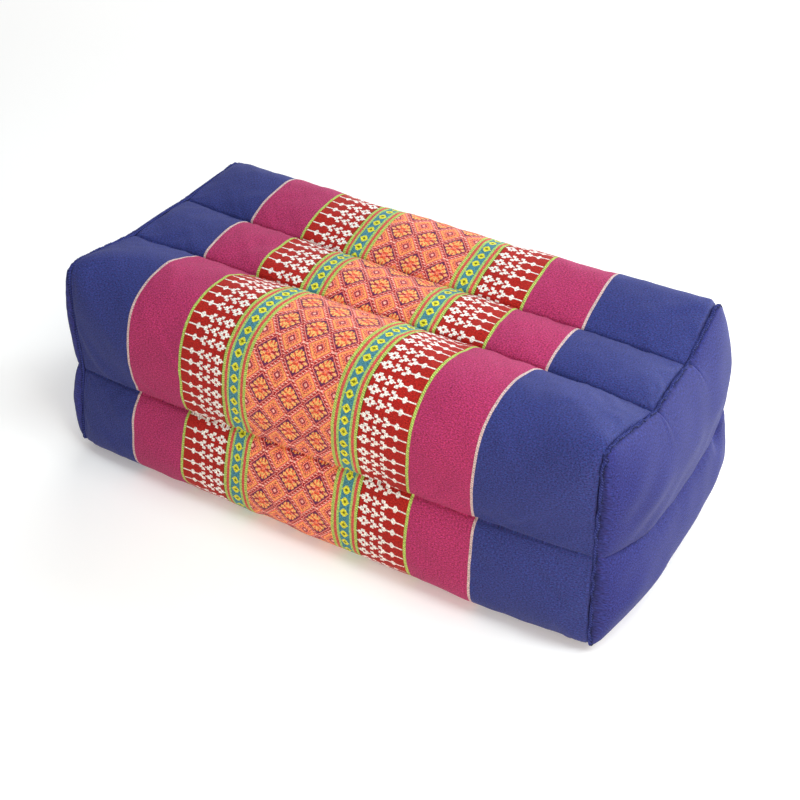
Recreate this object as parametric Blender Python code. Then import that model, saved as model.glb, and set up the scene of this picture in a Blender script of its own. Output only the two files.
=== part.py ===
"""Block meditation cushion: a woven wrap over six long channels, two plain domed ends, overlocked seams.

+X runs along the length and the end nearest the camera of the photo is at +X, the long side it shows
is at -Y, +Z is up and the floor is at z = 0. Sizes below are in millimetres.
"""

import bpy
import numpy as np

MM = 0.001

# Sizes of the whole cushion
SEAM_TO_SEAM = 310.0
CLOTH_GAP = 0.45

# Steps of the mesh: along the length, over one cell's width, up one cell's height
LENGTH_STEPS = 28
CELL_STEPS = 6
LAYER_STEPS = 7
EVEN_SHARE = 0.35

# How the channels fill out from the end seams towards the middle of the length
FILL_POWER = 5.8
FILL_ROUND = 0.46
SECTION_END_POWER = 12.0
SECTION_END_EASE = 1.5
CREASE_POWER = 4.0

# Where each seam, channel or corner guide runs, hidden ones level and square
# name: x, y, z at the left end; x, y, z at the right end; belly dy, dz; tilt dz
TRACKS = {
    "front_bottom": ((-2.1, -82.1, 4.5), (5.8, -78.9, 4.7), (-0.9, 0.0), 0.0),
    "front_crease": ((1.2, -78.0, 53.6), (2.1, -80.3, 60.4), (-1.9, -0.9), 0.0),
    "front_top": ((1.5, -77.6, 119.1), (-1.2, -79.4, 119.7), (-2.1, 1.4), 0.0),
    "valley_front": ((1.9, -26.1, 116.1), (3.3, -26.7, 110.7), (7.1, -3.6), 2.3),
    "valley_back": ((-1.3, 25.7, 116.9), (1.5, 24.8, 107.9), (-0.5, -1.0), 1.6),
    "back_top": ((-2.1, 80.1, 121.7), (-1.0, 79.0, 117.2), (-6.1, -3.8), 0.0),
    "back_crease": ((0.0, 80.0, 57.0), (6.3, 79.6, 57.5), (1.9, 0.0), 0.0),
    "back_bottom": ((0.0, 80.0, 4.5), (8.3, 79.5, 4.5), (0.0, 0.0), 0.0),
    "base_back": ((0.0, 26.6, 4.7), (4.4, 26.6, 4.7), (0.0, 3.1), 0.0),
    "base_front": ((0.0, -26.6, 4.7), (3.9, -26.6, 4.7), (0.0, 3.1), 0.0),
}

# The six padded channels, in order round the section from the front crease
# first seam, corner guide, last seam, bulge at the side, bulge above or below, squareness
CHANNELS = (
    ("front_crease", "front_top", "valley_front", 7.6, 9.6, 3.0),
    ("valley_front", None, "valley_back", 7.3, 7.3, 0.0),
    ("valley_back", "back_top", "back_crease", 9.6, 11.9, 8.0),
    ("back_crease", "back_bottom", "base_back", 11.1, 7.2, 6.2),
    ("base_back", None, "base_front", 8.8, 8.8, 0.0),
    ("base_front", "front_bottom", "front_crease", 11.1, 7.2, 6.2),
)
BULGE_AT_SEAM = 0.9
CORNER_BULGE_POWER = 2.35
FLAT_BULGE_POWER = 2.15
BULGE_ROUND = 0.73

# The domed ends: how far the upper and lower halves stand out, and the crease between them
DOME_UPPER = 14.2
DOME_LOWER = 17.2
DOME_CREASE = 10.0
DOME_CREASE_AT = 0.515
DOME_CREASE_EASE = 1.2
DOME_CREASE_SHARE = 0.4
DOME_SIDE_POWER = 3.05
DOME_SIDE_ROUND = 0.365
DOME_UP_POWER = 1.5
DOME_UP_ROUND = 0.64
DOME_SKEW = 1.02
PANEL_THICKNESS = 1.5
PANEL_INSET = 2.2
PANEL_CORNER_INSET = 3.3
LEAST_LEAN = 0.5

# The overlocked seam edge, standing out at 45 degrees
EDGE_HEIGHT = 3.2
EDGE_SHOULDER = 1.9
EDGE_WIDTH = 1.7
EDGE_TIP_WIDTH = 1.1
EDGE_GAP = 0.55
EDGE_ABOVE_FLOOR = 0.2

WRAP_COLOUR = (0.16, 0.09, 0.30, 1.0)
END_COLOUR = (0.085, 0.07, 0.30, 1.0)
THREAD_COLOUR = (0.012, 0.014, 0.045, 1.0)


def clear_scene():
    """Removes every object of the startup scene."""
    for obj in list(bpy.data.objects):
        bpy.data.objects.remove(obj, do_unlink=True)


def fullness(u):
    """How far the channels have filled out at u, 0 at the end seams (u = -1 and 1) and 1 between."""
    return (1 - np.abs(u) ** FILL_POWER).clip(0) ** FILL_ROUND


def track(name, u):
    """The points of one seam or corner guide at each u, with x as an offset from its station."""
    left, right, belly, tilt = TRACKS[name]
    share = ((u + 1) / 2)[:, None]
    points = (1 - share) * np.array(left) + share * np.array(right)
    hollow = 1 - np.abs(u) ** CREASE_POWER
    points[:, 1] += hollow * belly[0]
    points[:, 2] += hollow * (belly[1] + tilt * u)
    return points


def bulge(t, power):
    """A rounded rise over t from 0 to 1 that is 0 at both ends and 1 in the middle."""
    return (1 - np.abs(2 * t - 1) ** power).clip(0) ** BULGE_ROUND


def corner_channel(start, guide, finish, n, side, over, full, first_steps, last_steps):
    """One channel round a corner: a squared-off arc from one seam to the next, padded outwards."""
    up = guide - start
    across = finish - guide
    centre = start + across
    n = n[:, None]
    rise = np.linspace(0, 1, first_steps + 1)[None, :]
    rise_scale = 1 / (1 + rise**n) ** (1 / n)
    run = np.linspace(1, 0, last_steps + 1)[None, 1:]
    run_scale = 1 / (1 + run**n) ** (1 / n)
    first = centre[:, None] - across[:, None] * rise_scale[..., None]
    first = first + up[:, None] * (rise * rise_scale)[..., None]
    last = centre[:, None] - across[:, None] * (run * run_scale)[..., None]
    last = last + up[:, None] * run_scale[..., None]
    points = np.concatenate([first, last], axis=1)
    t = np.concatenate([0.5 * rise, 1 - 0.5 * run], axis=1)
    along = np.gradient(points[..., 1:], axis=1)
    along = along / np.linalg.norm(along, axis=-1, keepdims=True)
    outward = np.stack([-along[..., 1], along[..., 0]], axis=-1)
    height = BULGE_AT_SEAM * (1 - full) + (side * (1 - t) + over * t) * full
    points[..., 1:] += outward * (bulge(t, CORNER_BULGE_POWER) * height)[..., None]
    return points


def flat_channel(start, finish, height, full, steps, upward):
    """One channel between two seams on the top or the underside."""
    t = np.linspace(0, 1, steps + 1)[None, :]
    points = start[:, None] * (1 - t)[..., None] + finish[:, None] * t[..., None]
    rise = BULGE_AT_SEAM * (1 - full) + height * full
    points[..., 2] += upward * bulge(t, FLAT_BULGE_POWER) * rise
    return points


def channel(row, u):
    """The points of one channel of the table, shaped (stations, steps + 1, 3)."""
    start_name, guide_name, finish_name, side, over, square = row
    full = fullness(u)[:, None]
    start = track(start_name, u)
    finish = track(finish_name, u)
    if guide_name is None:
        upward = 1 if start_name.startswith("valley") else -1
        return flat_channel(start, finish, over, full, CELL_STEPS, upward)
    guide = track(guide_name, u)
    n = square + (SECTION_END_POWER - square) * (1 - full[:, 0]) ** SECTION_END_EASE
    reverse = start_name in ("valley_back", "base_front")
    if reverse:
        start, finish = finish, start
    y_sign = -1.0 if "back" in guide_name else 1.0
    z_sign = -1.0 if "bottom" in guide_name else 1.0
    flip = np.array([1.0, y_sign, z_sign])
    ends = (start * flip, guide * flip, finish * flip)
    points = corner_channel(*ends, n, side, over, full, LAYER_STEPS, CELL_STEPS)
    points = points * flip
    return points[:, ::-1] if reverse else points


def wrap_surface(u):
    """The wrap cloth round the filling: closed sections at each u, shaped (stations, round, 3)."""
    rounds = np.concatenate([channel(row, u)[:, :-1] for row in CHANNELS], axis=1)
    rounds[..., 0] += u[:, None] * SEAM_TO_SEAM / 2
    rounds[..., 2] = np.maximum(rounds[..., 2], 0.0)
    return rounds


def end_grid(loop):
    """A net over an end, stretched between the four edges of its seam loop, rows upwards."""
    cells = 3 * CELL_STEPS
    layer = LAYER_STEPS
    closed = np.concatenate([loop, loop[:1]])
    front = np.concatenate([closed[-1 - layer :], closed[1 : layer + 1]])
    top = closed[layer : layer + cells + 1]
    back = closed[layer + cells : 3 * layer + cells + 1][::-1]
    bottom = closed[3 * layer + cells : 3 * layer + 2 * cells + 1][::-1]
    s = np.linspace(0, 1, cells + 1)[None, :, None]
    t = np.linspace(0, 1, 2 * layer + 1)[:, None, None]
    sides = (1 - s) * front[:, None] + s * back[:, None]
    rows = (1 - t) * bottom[None] + t * top[None]
    corners = (1 - s) * (1 - t) * bottom[0] + s * (1 - t) * bottom[-1]
    corners = corners + (1 - s) * t * top[0] + s * t * top[-1]
    return sides + rows - corners


def dome(rows, columns):
    """How far the end stands out at each point of its net, with the crease across at mid height."""
    y = np.linspace(-1, 1, columns)[None, :]
    z = np.linspace(0, 1, rows)[:, None]
    across = (1 - np.abs(y) ** DOME_SIDE_POWER).clip(0) ** DOME_SIDE_ROUND
    above = ((z - DOME_CREASE_AT) / (1 - DOME_CREASE_AT)).clip(0, 1)
    below = ((DOME_CREASE_AT - z) / DOME_CREASE_AT).clip(0, 1)
    t = np.maximum(above, below)
    crown = (1 - np.abs(2 * t**DOME_SKEW - 1) ** DOME_UP_POWER).clip(0) ** DOME_UP_ROUND
    height = np.where(z > DOME_CREASE_AT, DOME_UPPER, DOME_LOWER)
    rest = DOME_CREASE * (1 - t) ** DOME_CREASE_EASE
    return across * (rest + (height - DOME_CREASE_SHARE * rest) * crown)


def end_surface(loop, side):
    """The domed end inside a seam loop, side 1 for the right end and -1 for the left."""
    net = end_grid(loop)
    net[..., 0] += side * dome(net.shape[0], net.shape[1])
    return net


def net_triangles(rows, columns, flip, mitred=False):
    """Two triangles for each cell of a net. A mitred net is split towards its four corners."""
    index = np.arange(rows * columns).reshape(rows, columns)
    a = index[:-1, :-1]
    b = index[:-1, 1:]
    c = index[1:, 1:]
    d = index[1:, :-1]
    low = np.arange(rows - 1)[:, None] < (rows - 1) // 2
    left = np.arange(columns - 1)[None, :] < (columns - 1) // 2
    turned = np.broadcast_to((low != left) & mitred, a.shape)
    one = np.where(turned[..., None], np.stack([a, b, d], -1), np.stack([a, b, c], -1))
    two = np.where(turned[..., None], np.stack([b, c, d], -1), np.stack([a, c, d], -1))
    faces = np.concatenate([one.reshape(-1, 3), two.reshape(-1, 3)])
    return faces[:, ::-1] if flip else faces


def net_offsets(net, side):
    """Steps that carry each point of an end's net outwards so that its facets all move by one or more."""
    rows, columns = net.shape[:2]
    points = net.reshape(-1, 3)
    faces = net_triangles(rows, columns, side < 0, True)
    edges = points[faces]
    square = np.cross(edges[:, 1] - edges[:, 0], edges[:, 2] - edges[:, 0])
    square = square / np.linalg.norm(square, axis=-1, keepdims=True)
    mean = np.zeros_like(points)
    least = np.ones(len(points))
    for corner in range(3):
        np.add.at(mean, faces[:, corner], square)
    mean = mean / np.linalg.norm(mean, axis=-1, keepdims=True)
    for corner in range(3):
        lean = (mean[faces[:, corner]] * square).sum(axis=-1)
        np.minimum.at(least, faces[:, corner], lean)
    return (mean / least.clip(LEAST_LEAN)[:, None]).reshape(net.shape)


def make_object(name, points, faces, colour):
    """One named mesh object, from points in millimetres, with its own plain material."""
    mesh = bpy.data.meshes.new(name)
    mesh.from_pydata((points * MM).tolist(), [], faces.tolist())
    mesh.validate()
    mesh.shade_smooth()
    obj = bpy.data.objects.new(name, mesh)
    bpy.context.scene.collection.objects.link(obj)
    material = bpy.data.materials.new(name + "_cloth")
    material.use_nodes = True
    shader = material.node_tree.nodes["Principled BSDF"]
    shader.inputs["Base Color"].default_value = colour
    shader.inputs["Roughness"].default_value = 0.85
    mesh.materials.append(material)
    return obj


def weld(points, faces):
    """Joins points that coincide, and drops nothing else."""
    keys = np.round(points, 5)
    _, first, index = np.unique(keys, axis=0, return_index=True, return_inverse=True)
    return points[first], index.reshape(-1)[faces]


def build_body(surface):
    """The filled solid: the wrapped sides closed by the two domed ends."""
    count, around = surface.shape[:2]
    ring = np.concatenate([surface, surface[:, :1]], axis=1)
    parts = [ring.reshape(-1, 3)]
    faces = [net_triangles(count, around + 1, True)]
    base = count * (around + 1)
    for end, side in ((0, -1), (count - 1, 1)):
        net = end_surface(surface[end], side)
        rows, columns = net.shape[:2]
        parts.append(net.reshape(-1, 3))
        faces.append(net_triangles(rows, columns, side < 0, True) + base)
        base += rows * columns
    points, triangles = weld(np.concatenate(parts), np.concatenate(faces))
    return make_object("cushion_body", points, triangles, WRAP_COLOUR)


def stepped(points, towards, distance):
    """Each point moved by a distance straight towards its partner."""
    step = towards - points
    return points + step * distance / np.linalg.norm(step, axis=-1, keepdims=True)


def pulled_in(net):
    """The net with its outer rows moved inwards along their own facets, clear of the seam edge."""
    moved = net.copy()
    ends = ((0, 1), (-1, -2))
    for first, second in ends:
        moved[first] = stepped(net[first], net[second], PANEL_INSET)
        moved[1:-1, first] = stepped(net[:, first], net[:, second], PANEL_INSET)[1:-1]
    for row, next_row in ends:
        for column, next_column in ends:
            inwards = net[next_row, next_column]
            moved[row, column] = stepped(net[row, column], inwards, PANEL_CORNER_INSET)
    return moved


def build_panel(name, loop, side):
    """One plain end cloth, a closed sheet lying a hair above the domed end."""
    net = end_surface(loop, side)
    outward = net_offsets(net, side)
    lying = pulled_in(net)
    inner = lying + outward * CLOTH_GAP
    outer = lying + outward * (CLOTH_GAP + PANEL_THICKNESS)
    rows, columns = net.shape[:2]
    size = rows * columns
    index = np.arange(size).reshape(rows, columns)
    rim = np.concatenate([index[0, :-1], index[:-1, -1], index[-1, :0:-1], index[:0:-1, 0]])
    onward = np.roll(rim, -1)
    points = np.concatenate([outer.reshape(-1, 3), inner.reshape(-1, 3)])
    walls = np.concatenate(
        [
            np.stack([rim, rim + size, onward + size], 1),
            np.stack([rim, onward + size, onward], 1),
        ]
    )
    faces = np.concatenate(
        [
            net_triangles(rows, columns, side < 0, True),
            net_triangles(rows, columns, side > 0, True) + size,
            walls if side > 0 else walls[:, ::-1],
        ]
    )
    return make_object(name, points, faces, END_COLOUR)


def build_edge(name, loop, side):
    """The overlocked seam edge: a low ridge carried round the end seam, leaning out at 45 degrees."""
    along = np.roll(loop, -1, axis=0) - np.roll(loop, 1, axis=0)
    along[:, 0] = 0
    along = along / np.linalg.norm(along, axis=-1, keepdims=True)
    outward = np.stack([np.zeros(len(loop)), -along[:, 2], along[:, 1]], axis=-1)
    lean = (outward + np.array([side, 0.0, 0.0])) / np.sqrt(2)
    width = (np.array([side, 0.0, 0.0]) - outward) / np.sqrt(2)
    tip = EDGE_GAP + EDGE_HEIGHT
    shoulder = EDGE_GAP + EDGE_SHOULDER
    profile = (
        (EDGE_GAP, -EDGE_WIDTH / 2),
        (EDGE_GAP, EDGE_WIDTH / 2),
        (shoulder, EDGE_WIDTH / 2),
        (tip, EDGE_TIP_WIDTH / 2),
        (tip, -EDGE_TIP_WIDTH / 2),
        (shoulder, -EDGE_WIDTH / 2),
    )
    rows = [loop + lean * height + width * across for height, across in profile]
    net = np.stack(rows + rows[:1], axis=1)
    net = np.concatenate([net, net[:1]])
    net[..., 2] = np.maximum(net[..., 2], EDGE_ABOVE_FLOOR)
    faces = net_triangles(net.shape[0], net.shape[1], side > 0)
    points, faces = weld(net.reshape(-1, 3), faces)
    return make_object(name, points, faces, THREAD_COLOUR)


def stand_over_origin(pieces):
    """Parents the pieces to one empty, placed so that the middle of their box is over the origin."""
    points = np.array([vertex.co for obj in pieces for vertex in obj.data.vertices])
    middle = (points.min(axis=0) + points.max(axis=0)) / 2
    root = bpy.data.objects.new("cushion", None)
    bpy.context.scene.collection.objects.link(root)
    root.location = (-middle[0], -middle[1], 0.0)
    for obj in pieces:
        obj.parent = root


def main():
    clear_scene()
    even = np.linspace(-1, 1, LENGTH_STEPS + 1)
    stations = EVEN_SHARE * even + (1 - EVEN_SHARE) * np.sin(even * np.pi / 2)
    surface = wrap_surface(stations)
    pieces = [build_body(surface)]
    for name, end, side in (("left", 0, -1), ("right", -1, 1)):
        pieces.append(build_panel("end_panel_" + name, surface[end], side))
        pieces.append(build_edge("seam_edge_" + name, surface[end], side))
    stand_over_origin(pieces)


main()
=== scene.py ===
"""Looks of the block meditation cushion: its woven wrap, domed end panels and overlocked end seams.

The shape repeats the part's own formulas on a finer grid, in millimetres. Each mesh is then written in
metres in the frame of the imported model: +X along the length, -Y towards the long side that the photograph
shows, +Z up.
"""

import logging
import math
from dataclasses import dataclass, field
from enum import Enum

import bpy
import numpy as np
from mathutils import Matrix, Vector

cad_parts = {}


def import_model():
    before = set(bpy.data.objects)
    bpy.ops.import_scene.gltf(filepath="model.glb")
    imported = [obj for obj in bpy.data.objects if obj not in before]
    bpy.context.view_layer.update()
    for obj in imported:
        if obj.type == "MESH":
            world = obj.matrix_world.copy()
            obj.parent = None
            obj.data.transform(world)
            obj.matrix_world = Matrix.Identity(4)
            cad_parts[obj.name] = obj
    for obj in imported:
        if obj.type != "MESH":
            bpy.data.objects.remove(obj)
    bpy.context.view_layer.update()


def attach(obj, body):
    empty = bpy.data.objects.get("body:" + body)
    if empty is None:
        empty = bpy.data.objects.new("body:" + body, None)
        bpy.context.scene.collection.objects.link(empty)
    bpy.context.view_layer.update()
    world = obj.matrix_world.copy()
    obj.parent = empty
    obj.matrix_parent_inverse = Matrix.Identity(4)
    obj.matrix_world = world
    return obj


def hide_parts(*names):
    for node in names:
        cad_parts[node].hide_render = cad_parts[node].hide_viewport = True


LOG = logging.getLogger("meditation_cushion")

MM = 0.001
Colour = tuple[float, float, float]
Place = tuple[float, float, float]
Track = tuple[Place, Place, tuple[float, float], float]
Channel = tuple[str, str | None, str, float, float, float]
Socket = bpy.types.NodeSocket
Material = bpy.types.Material
Piece = bpy.types.Object


class End(Enum):
    """The two ends of the cushion, with the sign of their side along X."""

    LEFT = -1
    RIGHT = 1

    @property
    def label(self) -> str:
        """The end's name as it stands in the part's nodes."""
        return self.name.lower()


def srgb(red: float, green: float, blue: float) -> Colour:
    """The linear colour of an 8-bit display colour.

    Args:
        red: Red from 0 to 255.
        green: Green from 0 to 255.
        blue: Blue from 0 to 255.

    Returns:
        The three linear parts, each from 0 to 1.
    """
    parts = np.array([red, green, blue]) / 255.0
    linear = np.where(parts <= 0.04045, parts / 12.92, ((parts + 0.055) / 1.055) ** 2.4)
    return tuple(float(part) for part in linear)


@dataclass(frozen=True)
class Unevenness:
    """Smooth noise of one size over a surface, in millimetres.

    The formula is a sum of sine waves with seeded directions and phases, each with a wavelength near the
    given length along its own coordinate, divided by the square root of half their number.
    """

    height: float
    length_x: float
    length_y: float
    seed: int
    waves: int = 14
    steepest: float = 1.6

    def over(self, x: np.ndarray, y: np.ndarray) -> np.ndarray:
        """The noise at each place.

        Args:
            x: First coordinate, any shape.
            y: Second coordinate, of a shape that fits the first.

        Returns:
            Heights, shaped as both coordinates together.
        """
        table = np.random.RandomState(self.seed)
        total = np.zeros(np.broadcast(x, y).shape)
        for _ in range(self.waves):
            along = table.uniform(-self.steepest, self.steepest) * 2 * np.pi / self.length_x
            across = table.uniform(-self.steepest, self.steepest) * 2 * np.pi / self.length_y
            total = total + np.sin(along * x + across * y + table.uniform(0, 2 * np.pi))
        return self.height * (total / math.sqrt(self.waves / 2))


@dataclass(frozen=True)
class PleatFan:
    """Short pleats that fan out from points on an edge, in millimetres.

    The formula is a cosine of several times the angle at each point, with a phase of its own, which dies
    away with the distance from it and starts a little way off it.
    """

    height: float
    reach: float
    lobes: int = 11
    phase_step: float = 1.7
    start: float = 2.0

    def over(self, away: np.ndarray, beside: np.ndarray) -> np.ndarray:
        """The sum of every point's pleats.

        Args:
            away: Distance from the edge, shaped (rows, columns).
            beside: Signed distance along the edge from each point, shaped (points, 1 or rows, columns).

        Returns:
            Heights shaped (rows, columns).
        """
        away = away[None] + 0 * beside
        distance = np.hypot(away, beside)
        phase = np.arange(len(beside))[:, None, None] * self.phase_step
        pleats = np.cos(self.lobes * np.arctan2(beside, away) + phase) * np.exp(-distance / self.reach)
        return self.height * (pleats * (distance / self.start).clip(0, 1)).sum(axis=0)


@dataclass(frozen=True)
class CushionShape:
    """The formulas of the padded block, in millimetres, before it is set over the origin."""

    seam_to_seam: float = 310.0
    cell_steps: int = 34
    layer_steps: int = 40
    length_steps: int = 220
    even_share: float = 0.45
    seam_crowding: float = 1.45
    fill_power: float = 5.8
    fill_round: float = 0.46
    section_end_power: float = 18.0
    section_end_ease: float = 1.5
    crease_power: float = 4.0
    bulge_at_seam: float = 0.9
    corner_bulge_power: float = 2.35
    flat_bulge_power: float = 2.15
    bulge_round: float = 0.73
    dome_upper: float = 14.2
    dome_lower: float = 17.2
    dome_crease: float = 10.0
    dome_crease_at: float = 0.515
    dome_crease_ease: float = 1.2
    dome_crease_share: float = 0.4
    dome_side_power: float = 3.05
    dome_side_round: float = 0.365
    dome_up_power: float = 1.5
    dome_up_round: float = 0.64
    dome_skew: float = 1.02
    middle_x: float = 2.467
    middle_y: float = -0.372
    tracks: dict[str, Track] = field(
        default_factory=lambda: {
            "front_bottom": ((-2.1, -82.1, 4.5), (5.8, -78.9, 4.7), (-0.9, 0.0), 0.0),
            "front_crease": ((1.2, -78.0, 53.6), (2.1, -80.3, 60.4), (-1.9, -0.9), 0.0),
            "front_top": ((1.5, -77.6, 119.1), (-1.2, -79.4, 119.7), (-2.1, 1.4), 0.0),
            "valley_front": ((1.9, -26.1, 116.1), (3.3, -26.7, 110.7), (7.1, -3.6), 2.3),
            "valley_back": ((-1.3, 25.7, 116.9), (1.5, 24.8, 107.9), (-0.5, -1.0), 1.6),
            "back_top": ((-2.1, 80.1, 121.7), (-1.0, 79.0, 117.2), (-6.1, -3.8), 0.0),
            "back_crease": ((0.0, 80.0, 57.0), (6.3, 79.6, 57.5), (1.9, 0.0), 0.0),
            "back_bottom": ((0.0, 80.0, 4.5), (8.3, 79.5, 4.5), (0.0, 0.0), 0.0),
            "base_back": ((0.0, 26.6, 4.7), (4.4, 26.6, 4.7), (0.0, 3.1), 0.0),
            "base_front": ((0.0, -26.6, 4.7), (3.9, -26.6, 4.7), (0.0, 3.1), 0.0),
        }
    )
    channels: tuple[Channel, ...] = (
        ("front_crease", "front_top", "valley_front", 7.6, 9.6, 3.0),
        ("valley_front", None, "valley_back", 7.3, 7.3, 0.0),
        ("valley_back", "back_top", "back_crease", 9.6, 11.9, 8.0),
        ("back_crease", "back_bottom", "base_back", 11.1, 7.2, 6.2),
        ("base_back", None, "base_front", 8.8, 8.8, 0.0),
        ("base_front", "front_bottom", "front_crease", 11.1, 7.2, 6.2),
    )

    def stations(self) -> np.ndarray:
        """Positions along the length from -1 to 1, closer together towards the end seams."""
        even = np.linspace(-1, 1, self.length_steps + 1)
        return self.even_share * even + (1 - self.even_share) * np.sin(even * np.pi / 2)

    def crowded(self, steps: int) -> np.ndarray:
        """Places from 0 to 1 that crowd towards 0, where a sewn seam lies: even places to a power."""
        return np.linspace(0, 1, steps + 1) ** self.seam_crowding

    def seam_columns(self) -> np.ndarray:
        """Column of each channel's first seam round the section, and of the closing seam last."""
        layer, cell = self.layer_steps, self.cell_steps
        counts = [layer + cell, cell, layer + cell, layer + cell, cell, layer + cell]
        return np.concatenate([[0], np.cumsum(counts)])

    def fullness(self, u: np.ndarray) -> np.ndarray:
        """How far the channels have filled out at u: one minus the power of |u|, to a root."""
        return (1 - np.abs(u) ** self.fill_power).clip(0) ** self.fill_round

    def track(self, name: str, u: np.ndarray) -> np.ndarray:
        """Points of one seam or corner guide: a straight line between its ends plus a belly between them.

        Args:
            name: The seam's or guide's name in the table of tracks.
            u: Positions along the length, from -1 to 1.

        Returns:
            Points shaped (stations, 3).
        """
        left, right, belly, tilt = self.tracks[name]
        share = ((u + 1) / 2)[:, None]
        points = (1 - share) * np.array(left) + share * np.array(right)
        hollow = 1 - np.abs(u) ** self.crease_power
        points[:, 1] += hollow * belly[0]
        points[:, 2] += hollow * (belly[1] + tilt * u)
        return points

    def bulge(self, t: np.ndarray, power: float) -> np.ndarray:
        """A rounded rise over t, 0 to 1: one minus a power of the distance from the middle, to a root."""
        return (1 - np.abs(2 * t - 1) ** power).clip(0) ** self.bulge_round

    def corner_channel(
        self,
        ends: tuple[np.ndarray, np.ndarray, np.ndarray],
        n: np.ndarray,
        side: float,
        over: float,
        full: np.ndarray,
    ) -> np.ndarray:
        """One channel round a corner: a superellipse arc from seam to seam, padded along its own normal.

        Args:
            ends: First seam, corner guide and last seam, each shaped (stations, 3).
            n: Power of the superellipse at each station.
            side: Padding at the first seam's side.
            over: Padding at the last seam's side.
            full: Fullness at each station, shaped (stations, 1).

        Returns:
            Points shaped (stations, steps + 1, 3).
        """
        start, guide, finish = ends
        up = guide - start
        across = finish - guide
        centre = start + across
        n = n[:, None]
        rise = self.crowded(self.layer_steps)[None, :]
        rise_scale = 1 / (1 + rise**n) ** (1 / n)
        run = self.crowded(self.cell_steps)[None, -2::-1]
        run_scale = 1 / (1 + run**n) ** (1 / n)
        first = centre[:, None] - across[:, None] * rise_scale[..., None]
        first = first + up[:, None] * (rise * rise_scale)[..., None]
        last = centre[:, None] - across[:, None] * (run * run_scale)[..., None]
        last = last + up[:, None] * run_scale[..., None]
        points = np.concatenate([first, last], axis=1)
        t = np.concatenate([0.5 * rise, 1 - 0.5 * run], axis=1)
        along = np.gradient(points[..., 1:], axis=1)
        along = along / np.linalg.norm(along, axis=-1, keepdims=True)
        outward = np.stack([-along[..., 1], along[..., 0]], axis=-1)
        height = self.bulge_at_seam * (1 - full) + (side * (1 - t) + over * t) * full
        points[..., 1:] += outward * (self.bulge(t, self.corner_bulge_power) * height)[..., None]
        return points

    def flat_channel(
        self, start: np.ndarray, finish: np.ndarray, height: float, full: np.ndarray, upward: int
    ) -> np.ndarray:
        """One channel between two seams on the top or underside: a straight run plus its bulge.

        Args:
            start: The first seam, shaped (stations, 3).
            finish: The last seam, shaped the same.
            height: Padding in the channel's middle.
            full: Fullness at each station, shaped (stations, 1).
            upward: 1 on the top, -1 on the underside.

        Returns:
            Points shaped (stations, steps + 1, 3).
        """
        half = self.crowded(self.cell_steps // 2)
        t = np.concatenate([half / 2, 1 - half[-2::-1] / 2])[None, :]
        points = start[:, None] * (1 - t)[..., None] + finish[:, None] * t[..., None]
        rise = self.bulge_at_seam * (1 - full) + height * full
        points[..., 2] += upward * self.bulge(t, self.flat_bulge_power) * rise
        return points

    def channel(self, row: Channel, u: np.ndarray) -> np.ndarray:
        """The points of one channel of the table.

        Args:
            row: The channel's seams and corner guide, its padding at both, and its corner's power.
            u: Positions along the length, from -1 to 1.

        Returns:
            Points shaped (stations, steps + 1, 3).
        """
        start_name, guide_name, finish_name, side, over, square = row
        full = self.fullness(u)[:, None]
        start = self.track(start_name, u)
        finish = self.track(finish_name, u)
        if guide_name is None:
            upward = 1 if start_name.startswith("valley") else -1
            return self.flat_channel(start, finish, over, full, upward)
        guide = self.track(guide_name, u)
        n = square + (self.section_end_power - square) * (1 - full[:, 0]) ** self.section_end_ease
        turned = start_name in ("valley_back", "base_front")
        if turned:
            start, finish = finish, start
        sideways = -1.0 if "back" in guide_name else 1.0
        upwards = -1.0 if "bottom" in guide_name else 1.0
        flip = np.array([1.0, sideways, upwards])
        points = self.corner_channel((start * flip, guide * flip, finish * flip), n, side, over, full) * flip
        return points[:, ::-1] if turned else points

    def wrap_surface(self, u: np.ndarray) -> np.ndarray:
        """The wrap cloth's closed sections, channel after channel, set over the origin.

        Args:
            u: Positions along the length, from -1 to 1.

        Returns:
            Points shaped (stations, round, 3).
        """
        rounds = np.concatenate([self.channel(row, u)[:, :-1] for row in self.channels], axis=1)
        rounds[..., 0] += u[:, None] * self.seam_to_seam / 2 - self.middle_x
        rounds[..., 1] -= self.middle_y
        rounds[..., 2] = np.maximum(rounds[..., 2], 0.0)
        return rounds

    def end_grid(self, loop: np.ndarray) -> np.ndarray:
        """A net over an end, stretched between its seam loop's four edges.

        It is the sides' blend plus the rows' blend, less the corners' blend. Rows run upwards and columns
        from front to back.

        Args:
            loop: The wrap's section at that end, shaped (round, 3).

        Returns:
            Points shaped (rows, columns, 3).
        """
        layer = self.layer_steps
        cells = 3 * self.cell_steps
        closed = np.concatenate([loop, loop[:1]])
        front = np.concatenate([closed[-1 - layer :], closed[1 : layer + 1]])
        top = closed[layer : layer + cells + 1]
        back = closed[layer + cells : 3 * layer + cells + 1][::-1]
        bottom = closed[3 * layer + cells : 3 * layer + 2 * cells + 1][::-1]
        s, t = self.end_places()
        s = s[None, :, None]
        t = t[:, None, None]
        sides = (1 - s) * front[:, None] + s * back[:, None]
        rows = (1 - t) * bottom[None] + t * top[None]
        corners = (1 - s) * (1 - t) * bottom[0] + s * (1 - t) * bottom[-1]
        corners = corners + (1 - s) * t * top[0] + s * t * top[-1]
        return sides + rows - corners

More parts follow.
